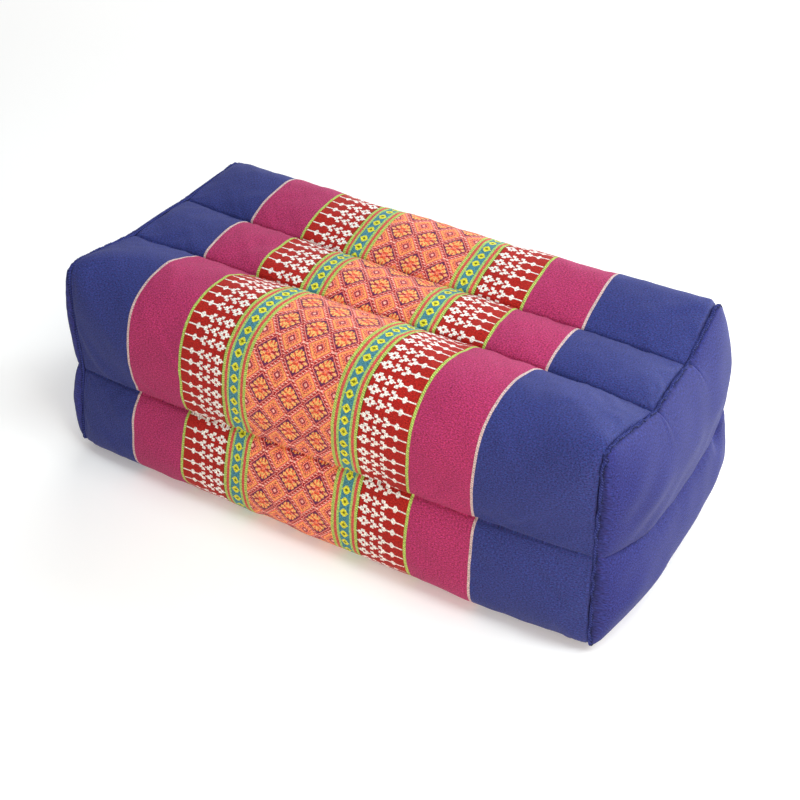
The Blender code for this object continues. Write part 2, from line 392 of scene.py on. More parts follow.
    def end_places(self) -> tuple[np.ndarray, np.ndarray]:
        """Places from 0 to 1 over an end's net, which crowd towards the seams.

        Returns:
            The places of its columns, front to back, and of its rows, upwards.
        """
        cell = self.crowded(self.cell_steps)
        half = self.crowded(self.cell_steps // 2)
        middle = np.concatenate([half / 2, 1 - half[-2::-1] / 2])
        columns = np.concatenate([1 - cell[::-1], 1 + middle[1:], 2 + cell[1:]]) / 3
        layer = self.crowded(self.layer_steps)
        rows = np.concatenate([1 - layer[::-1], 1 + layer[1:]]) / 2
        return columns, rows

    def dome(self) -> np.ndarray:
        """How far the end stands out over its net: a rounded crown above and below the crease.

        Returns:
            Distances in millimetres, shaped (rows, columns).
        """
        columns, rows = self.end_places()
        y = 2 * columns[None, :] - 1
        z = rows[:, None]
        across = (1 - np.abs(y) ** self.dome_side_power).clip(0) ** self.dome_side_round
        above = ((z - self.dome_crease_at) / (1 - self.dome_crease_at)).clip(0, 1)
        below = ((self.dome_crease_at - z) / self.dome_crease_at).clip(0, 1)
        t = np.maximum(above, below)
        crown = (1 - np.abs(2 * t**self.dome_skew - 1) ** self.dome_up_power).clip(0) ** self.dome_up_round
        height = np.where(z > self.dome_crease_at, self.dome_upper, self.dome_lower)
        rest = self.dome_crease * (1 - t) ** self.dome_crease_ease
        return across * (rest + (height - self.dome_crease_share * rest) * crown)


def grid_faces(rows: int, columns: int, flip: bool) -> np.ndarray:
    """The cells of a net of points.

    Args:
        rows: Rows of points.
        columns: Columns of points.
        flip: Whether the cells are turned the other way.

    Returns:
        Four vertex numbers for each cell, shaped (cells, 4).
    """
    index = np.arange(rows * columns).reshape(rows, columns)
    corners = [index[:-1, :-1], index[:-1, 1:], index[1:, 1:], index[1:, :-1]]
    faces = np.stack(corners, axis=-1).reshape(-1, 4)
    return faces[:, ::-1] if flip else faces


def grid_normals(grid: np.ndarray) -> np.ndarray:
    """Unit normals of a net: the cross product of its steps along the rows and along the columns."""
    across = np.cross(np.gradient(grid, axis=0), np.gradient(grid, axis=1))
    return across / np.linalg.norm(across, axis=-1, keepdims=True).clip(1e-9)


def between_cells(table: np.ndarray, rows: np.ndarray, columns: np.ndarray) -> np.ndarray:
    """A table's values at fractional rows and columns, blended between the four nearest cells.

    Args:
        table: Values shaped (rows, columns).
        rows: Fractional row numbers.
        columns: Fractional column numbers.

    Returns:
        Values shaped (row numbers, column numbers).
    """
    row = np.floor(rows).astype(int).clip(0, len(table) - 2)
    column = np.floor(columns).astype(int).clip(0, table.shape[1] - 2)
    down = (rows - row)[:, None]
    over = (columns - column)[None, :]
    upper = table[row][:, column] * (1 - over) + table[row][:, column + 1] * over
    lower = table[row + 1][:, column] * (1 - over) + table[row + 1][:, column + 1] * over
    return upper * (1 - down) + lower * down


@dataclass(frozen=True)
class FillingPressure:
    """A cloth simulation of stitched cloth that the filling presses outwards."""

    pressure: float = 4.0
    spare: float = 0.03
    quality: int = 6
    mass: float = 0.3
    bending: float = 0.6
    frames: int = 20
    most: float = 1.3
    even_over: int = 12

    def folds(self, net: np.ndarray, held: np.ndarray, closed: bool, outward: int) -> np.ndarray:
        """How far the simulated cloth ends up outside its own evened-out shape.

        Args:
            net: Points in millimetres, shaped (rows, columns, 3).
            held: Which points the stitches hold.
            closed: Whether the last column joins the first.
            outward: 1 where the net's own normals point outwards, -1 where they point inwards.

        Returns:
            Heights shaped (rows, columns), in millimetres.
        """
        rows, columns = net.shape[:2]
        looped = np.concatenate([net, net[:, :1]], axis=1) if closed else net
        faces = grid_faces(rows, looped.shape[1], outward > 0)
        row, column = np.divmod(faces, looped.shape[1])
        faces = row * columns + column % columns
        material = bpy.data.materials.new("simulated_cloth")
        cloth = make_piece("simulated_cloth", net.reshape(-1, 3), faces, material)
        group = cloth.vertex_groups.new(name="stitches")
        group.add(np.flatnonzero(held.ravel()).tolist(), 1.0, "REPLACE")
        modifier = cloth.modifiers.new("cloth", "CLOTH")
        settings = modifier.settings
        settings.quality = self.quality
        settings.mass = self.mass
        settings.vertex_group_mass = group.name
        settings.use_pressure = True
        settings.uniform_pressure_force = self.pressure
        settings.shrink_min = -self.spare
        settings.bending_stiffness = self.bending
        settings.effector_weights.gravity = 0.0
        modifier.collision_settings.use_collision = False
        modifier.collision_settings.use_self_collision = False
        modifier.point_cache.frame_start = 1
        modifier.point_cache.frame_end = self.frames
        scene = bpy.context.scene
        for frame in range(1, self.frames + 1):
            scene.frame_set(frame)
        solved = cloth.evaluated_get(bpy.context.evaluated_depsgraph_get())
        places = np.empty(rows * columns * 3, np.float32)
        solved.data.vertices.foreach_get("co", places)
        moved = places.reshape(net.shape) / MM - net
        scene.frame_set(1)
        bpy.data.objects.remove(cloth, do_unlink=True)
        bpy.data.materials.remove(material)
        height = outward * (moved * grid_normals(looped)[:, :columns]).sum(axis=-1)
        LOG.info("simulated cloth: heights %.2f to %.2f mm", height.min(), height.max())
        return (height - self.evened(height)).clip(-self.most, self.most)

    def evened(self, height: np.ndarray) -> np.ndarray:
        """Running mean of the heights over the nearest rows, with the end rows repeated.

        Args:
            height: Heights shaped (rows, columns).

        Returns:
            The means, shaped the same.
        """
        reach = self.even_over
        padded = np.concatenate([height[:1].repeat(reach, 0), height, height[-1:].repeat(reach, 0)])
        total = np.concatenate([np.zeros((1, height.shape[1])), np.cumsum(padded, axis=0)])
        return (total[2 * reach + 1 :] - total[: -2 * reach - 1]) / (2 * reach + 1)


def make_piece(
    name: str, points: np.ndarray, faces: np.ndarray, material: Material, uv: np.ndarray | None = None
) -> Piece:
    """One smooth-shaded mesh object at the origin.

    Args:
        name: Object and mesh name.
        points: Vertex places in millimetres, shaped (count, 3).
        faces: Vertex numbers, shaped (faces, 3 or 4).
        material: Finish of the whole piece.
        uv: Optional places of the face corners in metres, shaped (faces * corners, 2).

    Returns:
        The linked object.
    """
    mesh = bpy.data.meshes.new(name)
    corners = faces.shape[1]
    mesh.vertices.add(len(points))
    mesh.vertices.foreach_set("co", (points * MM).astype(np.float32).ravel())
    mesh.loops.add(faces.size)
    mesh.loops.foreach_set("vertex_index", faces.astype(np.int32).ravel())
    mesh.polygons.add(len(faces))
    mesh.polygons.foreach_set("loop_start", np.arange(0, faces.size, corners, dtype=np.int32))
    mesh.update(calc_edges=True)
    if uv is not None:
        layer = mesh.uv_layers.new(name="weave")
        layer.data.foreach_set("uv", uv.astype(np.float32).ravel())
    mesh.validate()
    mesh.shade_smooth()
    mesh.materials.append(material)
    obj = bpy.data.objects.new(name, mesh)
    bpy.context.scene.collection.objects.link(obj)
    return obj


class Graph:
    """The nodes of one material, built with short calls."""

    def __init__(self, name: str) -> None:
        """Starts a material with a Principled shader."""
        self.material = bpy.data.materials.new(name)
        self.material.use_nodes = True
        self.tree = self.material.node_tree
        self.shader = self.tree.nodes["Principled BSDF"]

    def feed(self, socket: Socket, value: Socket | float | Colour) -> None:
        """Links a socket, or sets a plain number or colour on it.

        Args:
            socket: The input to fill.
            value: The output to link to it, or its number or colour.
        """
        if isinstance(value, bpy.types.NodeSocket):
            self.tree.links.new(value, socket)
        elif isinstance(value, tuple) and len(socket.default_value) == 4:
            socket.default_value = (*value, 1.0)
        else:
            socket.default_value = value

    def math(self, operation: str, *values: Socket | float) -> Socket:
        """One Math node's result.

        Args:
            operation: The node's operation.
            values: Its inputs in order.

        Returns:
            The result's socket.
        """
        node = self.tree.nodes.new("ShaderNodeMath")
        node.operation = operation
        for slot, value in enumerate(values):
            self.feed(node.inputs[slot], value)
        return node.outputs[0]

    def between(self, value: Socket, low: float, high: float) -> Socket:
        """1 where the value lies between low and high, otherwise 0."""
        above = self.math("GREATER_THAN", value, low)
        return self.math("MULTIPLY", above, self.math("LESS_THAN", value, high))

    def mix(
        self, factor: Socket | float, first: Socket | Colour, second: Socket | Colour, how: str = "MIX"
    ) -> Socket:
        """A colour mixed from two others.

        Args:
            factor: 0 for the first colour, 1 for the second.
            first: First colour.
            second: Second colour.
            how: The way they are blended.

        Returns:
            The colour's socket.
        """
        node = self.tree.nodes.new("ShaderNodeMix")
        node.data_type = "RGBA"
        node.blend_type = how
        node.clamp_factor = True
        self.feed(node.inputs["Factor"], factor)
        self.feed(node.inputs[6], first)
        self.feed(node.inputs[7], second)
        return node.outputs[2]

    def ramp(self, factor: Socket, stops: list[tuple[float, Colour]]) -> Socket:
        """A colour ramp's colour, constant between its stops.

        Args:
            factor: The place on the ramp, from 0 to 1.
            stops: Where each colour begins.

        Returns:
            The colour's socket.
        """
        node = self.tree.nodes.new("ShaderNodeValToRGB")
        node.color_ramp.interpolation = "CONSTANT"
        elements = node.color_ramp.elements
        elements[0].position = stops[0][0]
        elements[0].color = (*stops[0][1], 1.0)
        elements.remove(elements[1])
        for place, colour in stops[1:]:
            elements.new(place).color = (*colour, 1.0)
        self.feed(node.inputs[0], factor)
        return node.outputs[0]

    def vector(self, x: Socket | float, y: Socket | float, z: Socket | float = 0.0) -> Socket:
        """A vector from three numbers.

        Args:
            x: First number.
            y: Second number.
            z: Third number.

        Returns:
            The vector's socket.
        """
        node = self.tree.nodes.new("ShaderNodeCombineXYZ")
        for slot, value in enumerate((x, y, z)):
            self.feed(node.inputs[slot], value)
        return node.outputs[0]

    def noise(self, vector: Socket, scale: float, rough: float = 0.5) -> Socket:
        """Noise from 0 to 1 over a vector, with two finer layers on the first.

        Args:
            vector: The place.
            scale: Size of the noise, larger for finer.
            rough: How strong each finer layer is.

        Returns:
            The noise's socket.
        """
        node = self.tree.nodes.new("ShaderNodeTexNoise")
        self.feed(node.inputs["Vector"], vector)
        node.inputs["Scale"].default_value = scale
        node.inputs["Detail"].default_value = 2.0
        node.inputs["Roughness"].default_value = rough
        return node.outputs["Fac"]

    def spread(self, value: Socket, low: float, high: float) -> Socket:
        """A number from 0 to 1 spread over low to high."""
        return self.math("MULTIPLY_ADD", value, high - low, low)

    def scaled(self, colour: Socket | Colour, factor: Socket) -> Socket:
        """A colour times a number."""
        return self.mix(1.0, colour, self.vector(factor, factor, factor), "MULTIPLY")

    def cloth_place(self) -> tuple[Socket, Socket]:
        """The piece's own UV map.

        Returns:
            Its two places in millimetres, as sockets.
        """
        node = self.tree.nodes.new("ShaderNodeUVMap")
        node.uv_map = "weave"
        split = self.tree.nodes.new("ShaderNodeSeparateXYZ")
        self.feed(split.inputs[0], node.outputs[0])
        u = self.math("MULTIPLY", split.outputs[0], 1 / MM)
        v = self.math("MULTIPLY", split.outputs[1], 1 / MM)
        return u, v

    def ticks(self, u: Socket, v: Socket, rates: tuple[float, float]) -> Socket:
        """The slanted ticks of twisted yarn: a sine of the two places, each times its rate, from 0 to 1.

        Args:
            u: First place, in millimetres.
            v: Second place, in millimetres.
            rates: How fast the sine turns with each, in radians a millimetre.

        Returns:
            The ticks' socket.
        """
        slope = self.math("MULTIPLY_ADD", u, rates[0], self.math("MULTIPLY", v, rates[1]))
        return self.math("MULTIPLY_ADD", self.math("SINE", slope), 0.5, 0.5)

    def bump(self, height: Socket, distance: float, strength: float) -> None:
        """Bumps the shader's normal.

        Args:
            height: The relief, in units of the distance.
            distance: Height of a relief of one, in metres.
            strength: Share of the relief that shows.
        """
        node = self.tree.nodes.new("ShaderNodeBump")
        node.inputs["Strength"].default_value = strength
        node.inputs["Distance"].default_value = distance
        self.feed(node.inputs["Height"], height)
        self.feed(self.shader.inputs["Normal"], node.outputs[0])

    def cloth(self, colour: Socket, rough: float, sheen: float, sheen_tint: Colour) -> None:
        """Sets the shader up as a matte cotton.

        Args:
            colour: Base colour.
            rough: Roughness.
            sheen: Weight of the fuzz's sheen.
            sheen_tint: Its colour.
        """
        self.feed(self.shader.inputs["Base Color"], colour)
        self.shader.inputs["Roughness"].default_value = rough
        self.shader.inputs["Specular IOR Level"].default_value = 0.25
        self.shader.inputs["Sheen Weight"].default_value = sheen
        self.shader.inputs["Sheen Roughness"].default_value = 0.45
        self.shader.inputs["Sheen Tint"].default_value = (*sheen_tint, 1.0)


@dataclass(frozen=True)
class YarnDye:
    """The uneven dye of cotton yarn: specks of two shades, fine streaks and broad clouds."""

    speck_offset: float = 31.0
    speck_scale: float = 1.2
    speck_rough: float = 0.7
    specks: tuple[float, float] = (-0.9, 1.9)
    streak_scale: float = 1.7
    streak_rough: float = 0.75
    streaks: tuple[float, float] = (-0.7, 2.7)
    darkest: float = 0.2

    def speckled(self, graph: Graph, first: Colour, second: Colour, u: Socket, v: Socket) -> Socket:
        """A plain cloth's colour, speckled between the shades of its two yarns.

        Args:
            graph: The material being built.
            first: The first yarn's colour.
            second: The second yarn's colour.
            u: Distance along the cloth, in millimetres.
            v: Distance across it, in millimetres.

        Returns:
            The colour's socket.
        """
        place = graph.vector(graph.math("ADD", u, self.speck_offset), v)
        speck = graph.noise(place, self.speck_scale, self.speck_rough)
        return graph.mix(graph.spread(speck, *self.specks), first, second)

    def streaked(self, graph: Graph, place: Socket) -> Socket:
        """Fine noise along the threads, from 0 to 1."""
        return graph.noise(place, self.streak_scale, self.streak_rough)

    def shaded(
        self, graph: Graph, colour: Socket, streak: Socket, cloud: Socket, clouds: tuple[float, float]
    ) -> Socket:
        """A colour times the streaks' shade and the clouds' shade, and no darker than the darkest.

        Args:
            graph: The material being built.
            colour: The cloth's colour.
            streak: Fine noise from 0 to 1.
            cloud: Broad noise from 0 to 1.
            clouds: The clouds' lowest and highest shade.

        Returns:
            The colour's socket.
        """
        shade = graph.math("MULTIPLY", graph.spread(streak, *self.streaks), graph.spread(cloud, *clouds))
        return graph.scaled(colour, graph.math("MAXIMUM", shade, self.darkest))


@dataclass(frozen=True)
class YarnColours:
    """Display colours of the wrap's yarns under white light."""

    navy: Colour = srgb(44, 66, 134)
    navy_purple: Colour = srgb(60, 52, 114)
    magenta: Colour = srgb(180, 52, 114)
    magenta_red: Colour = srgb(178, 52, 86)
    pale: Colour = srgb(226, 196, 190)
    lime: Colour = srgb(208, 220, 116)
    lime_shade: Colour = srgb(146, 182, 72)
    band: Colour = srgb(178, 32, 24)
    white: Colour = srgb(250, 242, 234)
    salmon: Colour = srgb(216, 90, 80)
    mint: Colour = srgb(168, 206, 110)
    teal: Colour = srgb(76, 138, 152)
    ring: Colour = srgb(232, 226, 60)
    ring_eye: Colour = srgb(124, 122, 12)
    edge_shadow: Colour = srgb(64, 56, 14)


class YarnKey(Enum):
    """The eight yarn colours of the figured centre, by their letter in its chart."""

    PURPLE = ("P", srgb(108, 44, 84))
    MAROON = ("m", srgb(158, 40, 54))
    CORAL = ("r", srgb(238, 86, 64))
    ORANGE = ("o", srgb(255, 144, 92))
    PETAL = ("y", srgb(255, 190, 112))
    PINK = ("k", srgb(252, 152, 142))
    CREAM = ("w", srgb(255, 204, 182))
    ROSE = ("d", srgb(186, 48, 46))


@dataclass(frozen=True)
class FiguredCentre:
    """The wrap's figured centre: one quarter of its repeat, charted and mirrored to both sides.

    The chart's first cell is the middle of a flower lozenge. Its last is the middle of a small lozenge, half
    a repeat away both ways. Inside the outline the rows are written out. Outside it each step, which is the
    sum of column and row, has a letter of its own.
    """

    half_width: float = 8.5
    half_height: float = 10.0
    columns: int = 17
    rows: int = 18
    outline: int = 13
    point_row: int = 10
    broken_rows: int = 4
    tooth_rows: int = 3
    flower: tuple[str, ...] = (
        "okrddmmrkyyyk",
        "orokkkrmmmkm",
        "rrroyyyyymP",
        "rrroyyyyyP",
        "yoyrroyyy",
        "yyyorroP",
        "yyoyyrP",
        "yoryyy",
        "yrryy",
        "yrry",
        "yrP",
        "PP",
        "P",
    )
    steps: str = "Pecdtttkroyoouorkmmkw"
    bits: int = 20

    def letter(self, column: int, row: int) -> str:
        """The chart's letter at one cell: the flower's rows inside, and outside them a letter for each step.

        In the steps, P and e are the lozenge's outline, which is single at its top and bottom points, c is a
        dotted line, t is a row of teeth that repeat every third row and narrow outwards, and u is a row of
        finer ones.

        Args:
            column: The cell's column, 0 at the flower's middle.
            row: The cell's row, 0 at the flower's middle.

        Returns:
            The letter of a yarn.
        """
        step = column + row
        if step < self.outline:
            drawn = self.flower[row][column]
            return "P" if row >= self.point_row and column else drawn
        depth = min(step - self.outline, len(self.steps) - 1)
        mark = self.steps[depth]
        if mark == "P":
            return "P" if row >= self.broken_rows or row % 2 else "m"
        if mark == "e" and row < self.point_row:
            return "P" if row % 2 else "m"
        if mark in "ec":
            return "k" if (column - row) % 2 else "d"
        if mark == "t":
            rank = row % self.tooth_rows
            first, last = self.steps.index("t"), self.steps.rindex("t")
            if rank == 0 or (rank == 1 and depth < last):
                return "d"
            return "w" if rank == 2 and depth > first else "k"
        if mark == "u":
            return "d" if (row + depth) % 2 else "k"
        return mark

    def codes(self) -> list[Colour]:
        """Each column as three whole numbers of twenty bits, one for each bit of the yarn's number.

        Returns:
            One colour a column, each part holding its rows' bits from the highest down, plus half a bit.
        """
        order = {key.value[0]: number for number, key in enumerate(YarnKey)}
        columns = []
        for column in range(self.columns):
            numbers = [order[self.letter(column, row)] for row in range(self.rows)]
            parts = []
            for plane in range(3):
                highest = self.bits - 1
                marks = [((number >> plane) & 1) << (highest - row) for row, number in enumerate(numbers)]
                parts.append((sum(marks) + 0.5) / 2**self.bits)
            columns.append(tuple(parts))
        return columns

    def colour(self, graph: Graph, u: Socket, v: Socket) -> Socket:
        """The yarn colour at each place of the cloth.

        Args:
            graph: The material being built.
            u: Distance from the figure's middle along the cushion, in millimetres.
            v: Distance along the cloth round the cushion, in millimetres, 0 at a row of flower lozenges.

        Returns:
            The colour's socket.
        """
        across = graph.math("PINGPONG", u, self.half_width)
        upward = graph.math("PINGPONG", v, self.half_height)
        column = graph.math("FLOOR", graph.math("MULTIPLY", across, self.columns / self.half_width))
        column = graph.math("MINIMUM", column, self.columns - 1.0)
        row = graph.math("FLOOR", graph.math("MULTIPLY", upward, self.rows / self.half_height))
        row = graph.math("MINIMUM", row, self.rows - 1.0)
        place = graph.math("DIVIDE", graph.math("ADD", column, 0.5), float(self.columns))
        stops = [(number / self.columns, code) for number, code in enumerate(self.codes())]
        packed = graph.ramp(place, stops)
        split = graph.tree.nodes.new("ShaderNodeSeparateColor")
        graph.feed(split.inputs[0], packed)
        power = graph.math("POWER", 2.0, graph.math("ADD", row, 1.0))
        number: Socket | float = 0.0
        for plane in range(3):
            moved = graph.math("FLOOR", graph.math("MULTIPLY", split.outputs[plane], power))
            bit = graph.math("FLOORED_MODULO", moved, 2.0)
            number = graph.math("MULTIPLY_ADD", bit, float(2**plane), number)
        choice = graph.math("DIVIDE", graph.math("ADD", number, 0.5), float(len(YarnKey)))
        yarns = [(slot / len(YarnKey), key.value[1]) for slot, key in enumerate(YarnKey)]
        return graph.ramp(choice, yarns)


@dataclass(frozen=True)
class Pendants:
    """The white pendant rows on the red band: what shows at each distance from the border.

    Each stretch gives where it begins, in millimetres, and which heights it fills above the row's middle
    line, as bits: 1 for the line itself, then 2, 4, 8 and 16 for the steps above it.
    """

    start: float = 41.4
    length: float = 27.0
    heights: tuple[float, ...] = (0.36, 0.72, 1.22, 1.68, 2.45)
    stretches: tuple[tuple[float, int], ...] = (
        (0.0, 1),
        (1.0, 3),
        (1.3, 7),
        (2.7, 31),
        (3.2, 28),
        (4.5, 31),
        (5.0, 7),
        (6.3, 3),
        (6.6, 1),
        (7.7, 24),
        (8.1, 28),
        (9.3, 31),
        (9.8, 7),
        (11.3, 3),
        (11.6, 1),
        (12.8, 24),
        (13.2, 28),
        (14.5, 31),
        (15.0, 7),
        (16.4, 3),
        (16.8, 1),
        (19.4, 3),
        (19.8, 7),
        (20.1, 15),
        (21.3, 7),
        (21.7, 3),
        (22.0, 1),
    )

    def mask(self, graph: Graph, u: Socket, height: Socket) -> Socket:
        """1 on the white yarn.

        Args:
            graph: The material being built.
            u: Distance from the figure's middle, without its sign, in millimetres.
            height: Distance from the nearest row's middle line, in millimetres.

        Returns:
            The mask's socket.
        """
        count = len(self.heights)
        place = graph.math("DIVIDE", graph.math("SUBTRACT", u, self.start), self.length)
        stops = [(start / self.length, ((bits + 0.5) / 2**count,) * 3) for start, bits in self.stretches]
        packed = graph.ramp(place, stops)
        level: Socket | float = 0.0
        for limit in self.heights:
            level = graph.math("ADD", graph.math("GREATER_THAN", height, limit), level)
        power = graph.math("POWER", 2.0, graph.math("SUBTRACT", float(count), level))
        moved = graph.math("FLOOR", graph.math("MULTIPLY", packed, power))
        bit = graph.math("FLOORED_MODULO", moved, 2.0)
        inside = graph.between(u, self.start, self.start + self.length)
        near = graph.math("LESS_THAN", level, count - 0.5)
        return graph.math("MULTIPLY", graph.math("MULTIPLY", bit, inside), near)


@dataclass(frozen=True)
class WeaveLayout:
    """Where the wrap's bands lie, in millimetres from the middle of the figured centre."""

    centre_half: float = 26.2
    border: tuple[tuple[float, str], ...] = (
        (26.2, "lime"),
        (27.9, "salmon"),
        (29.5, "mint"),
        (31.0, "teal"),
        (36.8, "mint"),
        (38.1, "salmon"),
        (39.8, "lime"),
        (41.4, "edge_shadow"),
        (41.8, "band"),
    )
    below_one: float = 0.999
    figured_half: float = 41.4
    figured_relief: float = 0.45
    ring_at: float = 33.7
    ring_half: tuple[float, float] = (2.05, 2.4)
    ring_round: float = 1.5
    ring_tip: tuple[float, float] = (2.6, 0.28)
    eye_half: float = 0.9
    eye_slope: float = 0.8
    row_gap: float = 6.3
    repeat_half: float = 10.0
    lime_line: tuple[float, float] = (68.7, 70.3)
    pale_line: tuple[float, float] = (103.8, 105.2)
    pale_ticks: tuple[float, float] = (0.72, 1.0)
    twist_rates: tuple[float, float] = (2.6, 5.2)
    streak_stretch: float = 0.6
    cloud_scale: float = 0.035
    clouds: tuple[float, float] = (0.76, 0.98)
    slant: float = 0.013

    def shift_at(self, arc: np.ndarray, girth: float) -> np.ndarray:
        """How far the figure's middle lies from the cushion's: straight lines between measured places.

        Args:
            arc: Length round the section from the front crease, in millimetres.
            girth: The whole length round it.

        Returns:
            Shifts along the cushion, in millimetres, shaped as arc.
        """
        upper = [
            (1.0, -9.9),
            (15.4, -9.5),
            (35.6, -8.85),
            (55.4, -8.7),
            (75.4, -7.9),
            (94.0, -7.5),
            (118.0, -6.4),
            (137.0, -5.75),
            (165.0, -4.6),
            (173.0, -4.25),
            (193.0, -3.25),
            (290.0, -3.0),
            (420.0, -6.0),
        ]
        lower = [(-112.0, -8.3), (-60.0, -8.3), (-35.0, -8.3), (-15.5, -8.3), (-1.0, -8.6)]
        return self.measured(arc, girth, upper, lower)

    def rows_at(self, arc: np.ndarray, girth: float) -> np.ndarray:
        """The weave's own length round the cushion, 0 at the first flower row above the crease.

        It runs on evenly and steps over the cloth that each sewn seam takes up.

        Args:
            arc: Length round the section from the front crease, in millimetres.
            girth: The whole length round it.

        Returns:
            The weave's length in millimetres, shaped as arc.
        """
        upper = [
            (0.4, -15.0),
            (15.4, 0.0),
            (35.6, 20.0),
            (55.4, 40.0),
            (75.4, 60.0),
            (94.9, 80.0),
            (117.4, 102.3),
            (118.9, 102.3),
            (137.0, 120.0),
            (165.0, 147.6),
            (166.4, 153.4),
            (173.0, 160.0),
            (193.3, 180.0),
        ]
        lower = [(-113.4, 424.6), (-56.2, 480.2), (-35.8, 500.0), (-15.5, 520.0), (-0.4, 534.9)]
        return self.measured(arc, girth, upper, lower)

    def measured(
        self,
        arc: np.ndarray,
        girth: float,
        upper: list[tuple[float, float]],
        lower: list[tuple[float, float]],
    ) -> np.ndarray:
        """Straight lines between measured places round the cushion.

        Args:
            arc: Length round the section from the front crease, in millimetres.
            girth: The whole length round it.
            upper: Places measured upwards from the crease, each with its value.
            lower: Places measured downwards from it, below zero, each with its value.

        Returns:
            Values shaped as arc.
        """
        places = [place for place, _ in upper] + [place + girth for place, _ in lower]
        values = [value for _, value in upper + lower]
        return np.interp(arc, places, values)

    def colour(self, graph: Graph, yarns: YarnColours, dye: YarnDye) -> tuple[Socket, Socket]:
        """The wrap's colour, and how far its yarns stand out.

        Args:
            graph: The material being built.
            yarns: The yarns' colours.
            dye: How uneven their dye is.

        Returns:
            The colour's socket and the relief's socket, from 0 to 1.
        """
        u, v = graph.cloth_place()
        out = graph.math("ABSOLUTE", u)
        folded = graph.math("PINGPONG", v, self.repeat_half)
        beside = graph.math("ABSOLUTE", graph.math("SUBTRACT", folded, self.row_gap))
        height = graph.math("MINIMUM", folded, beside)
        twist = graph.ticks(out, v, self.twist_rates)
        lime = graph.mix(twist, yarns.lime_shade, yarns.lime)
        colour = FiguredCentre().colour(graph, u, v)
        low, high = self.border[0][0], self.border[-1][0]
        place = graph.math("DIVIDE", graph.math("SUBTRACT", out, low), high - low)
        stops = []
        for start, name in self.border:
            stops.append(((start - low) / (high - low) * self.below_one, getattr(yarns, name)))
        border = graph.ramp(place, stops)
        for (start, name), (finish, _) in zip(self.border, self.border[1:]):
            if name == "lime":
                border = graph.mix(graph.between(out, start, finish), border, lime)
        ring, eye = self.ring(graph, out, height)
        border = graph.mix(ring, border, yarns.ring)
        border = graph.mix(eye, border, yarns.ring_eye)
        colour = graph.mix(graph.math("GREATER_THAN", out, self.centre_half), colour, border)
        white = Pendants().mask(graph, out, height)
        colour = graph.mix(white, colour, yarns.white)
        colour = graph.mix(graph.math("GREATER_THAN", out, self.lime_line[0]), colour, lime)
        magenta = dye.speckled(graph, yarns.magenta, yarns.magenta_red, u, v)
        colour = graph.mix(graph.math("GREATER_THAN", out, self.lime_line[1]), colour, magenta)
        pale = graph.scaled(yarns.pale, graph.spread(twist, *self.pale_ticks))
        colour = graph.mix(graph.math("GREATER_THAN", out, self.pale_line[0]), colour, pale)
        navy = dye.speckled(graph, yarns.navy, yarns.navy_purple, u, v)
        colour = graph.mix(graph.math("GREATER_THAN", out, self.pale_line[1]), colour, navy)
        streak = dye.streaked(graph, graph.vector(graph.math("MULTIPLY", u, self.streak_stretch), v))
        cloud = graph.noise(graph.vector(u, v), self.cloud_scale)
        return dye.shaded(graph, colour, streak, cloud, self.clouds), self.relief(graph, out, white)

    def relief(self, graph: Graph, out: Socket, white: Socket) -> Socket:
        """How far the yarns stand out: most at the white figures and the two lines, less in the other bands.

        Args:
            graph: The material being built.
            out: Distance from the figure's middle, without its sign, in millimetres.
            white: 1 on the white yarn.

        Returns:
            The relief's socket, from 0 to 1.
        """
        figured = graph.math("LESS_THAN", out, self.figured_half)
        cords = graph.math("ADD", graph.between(out, *self.lime_line), graph.between(out, *self.pale_line))
        raised = graph.math("MAXIMUM", white, cords)
        return graph.math("MAXIMUM", raised, graph.math("MULTIPLY", figured, self.figured_relief))

    def ring(self, graph: Graph, out: Socket, height: Socket) -> tuple[Socket, Socket]:
        """Masks of the border's ring flowers: a rounded lozenge with thin side tips, and its small eye.

        The lozenge is where the two distances, each as a share of the half size and to the rounding power,
        add up to less than one.

        Args:
            graph: The material being built.
            out: Distance from the figure's middle, without its sign, in millimetres.
            height: Distance from the nearest row's middle line, in millimetres.

        Returns:
            The flower's mask and its eye's mask.
        """
        side = graph.math("ABSOLUTE", graph.math("SUBTRACT", out, self.ring_at))
        wide = graph.math("POWER", graph.math("DIVIDE", side, self.ring_half[0]), self.ring_round)
        tall = graph.math("POWER", graph.math("DIVIDE", height, self.ring_half[1]), self.ring_round)
        lozenge = graph.math("LESS_THAN", graph.math("ADD", wide, tall), 1.0)
        beside = graph.math("LESS_THAN", side, self.ring_tip[0])
        level = graph.math("LESS_THAN", height, self.ring_tip[1])
        tips = graph.math("MULTIPLY", beside, level)
        slope = graph.math("MULTIPLY_ADD", side, self.eye_slope, height)
        eye = graph.math("LESS_THAN", slope, self.eye_half)
        return graph.math("MAXIMUM", lozenge, tips), eye


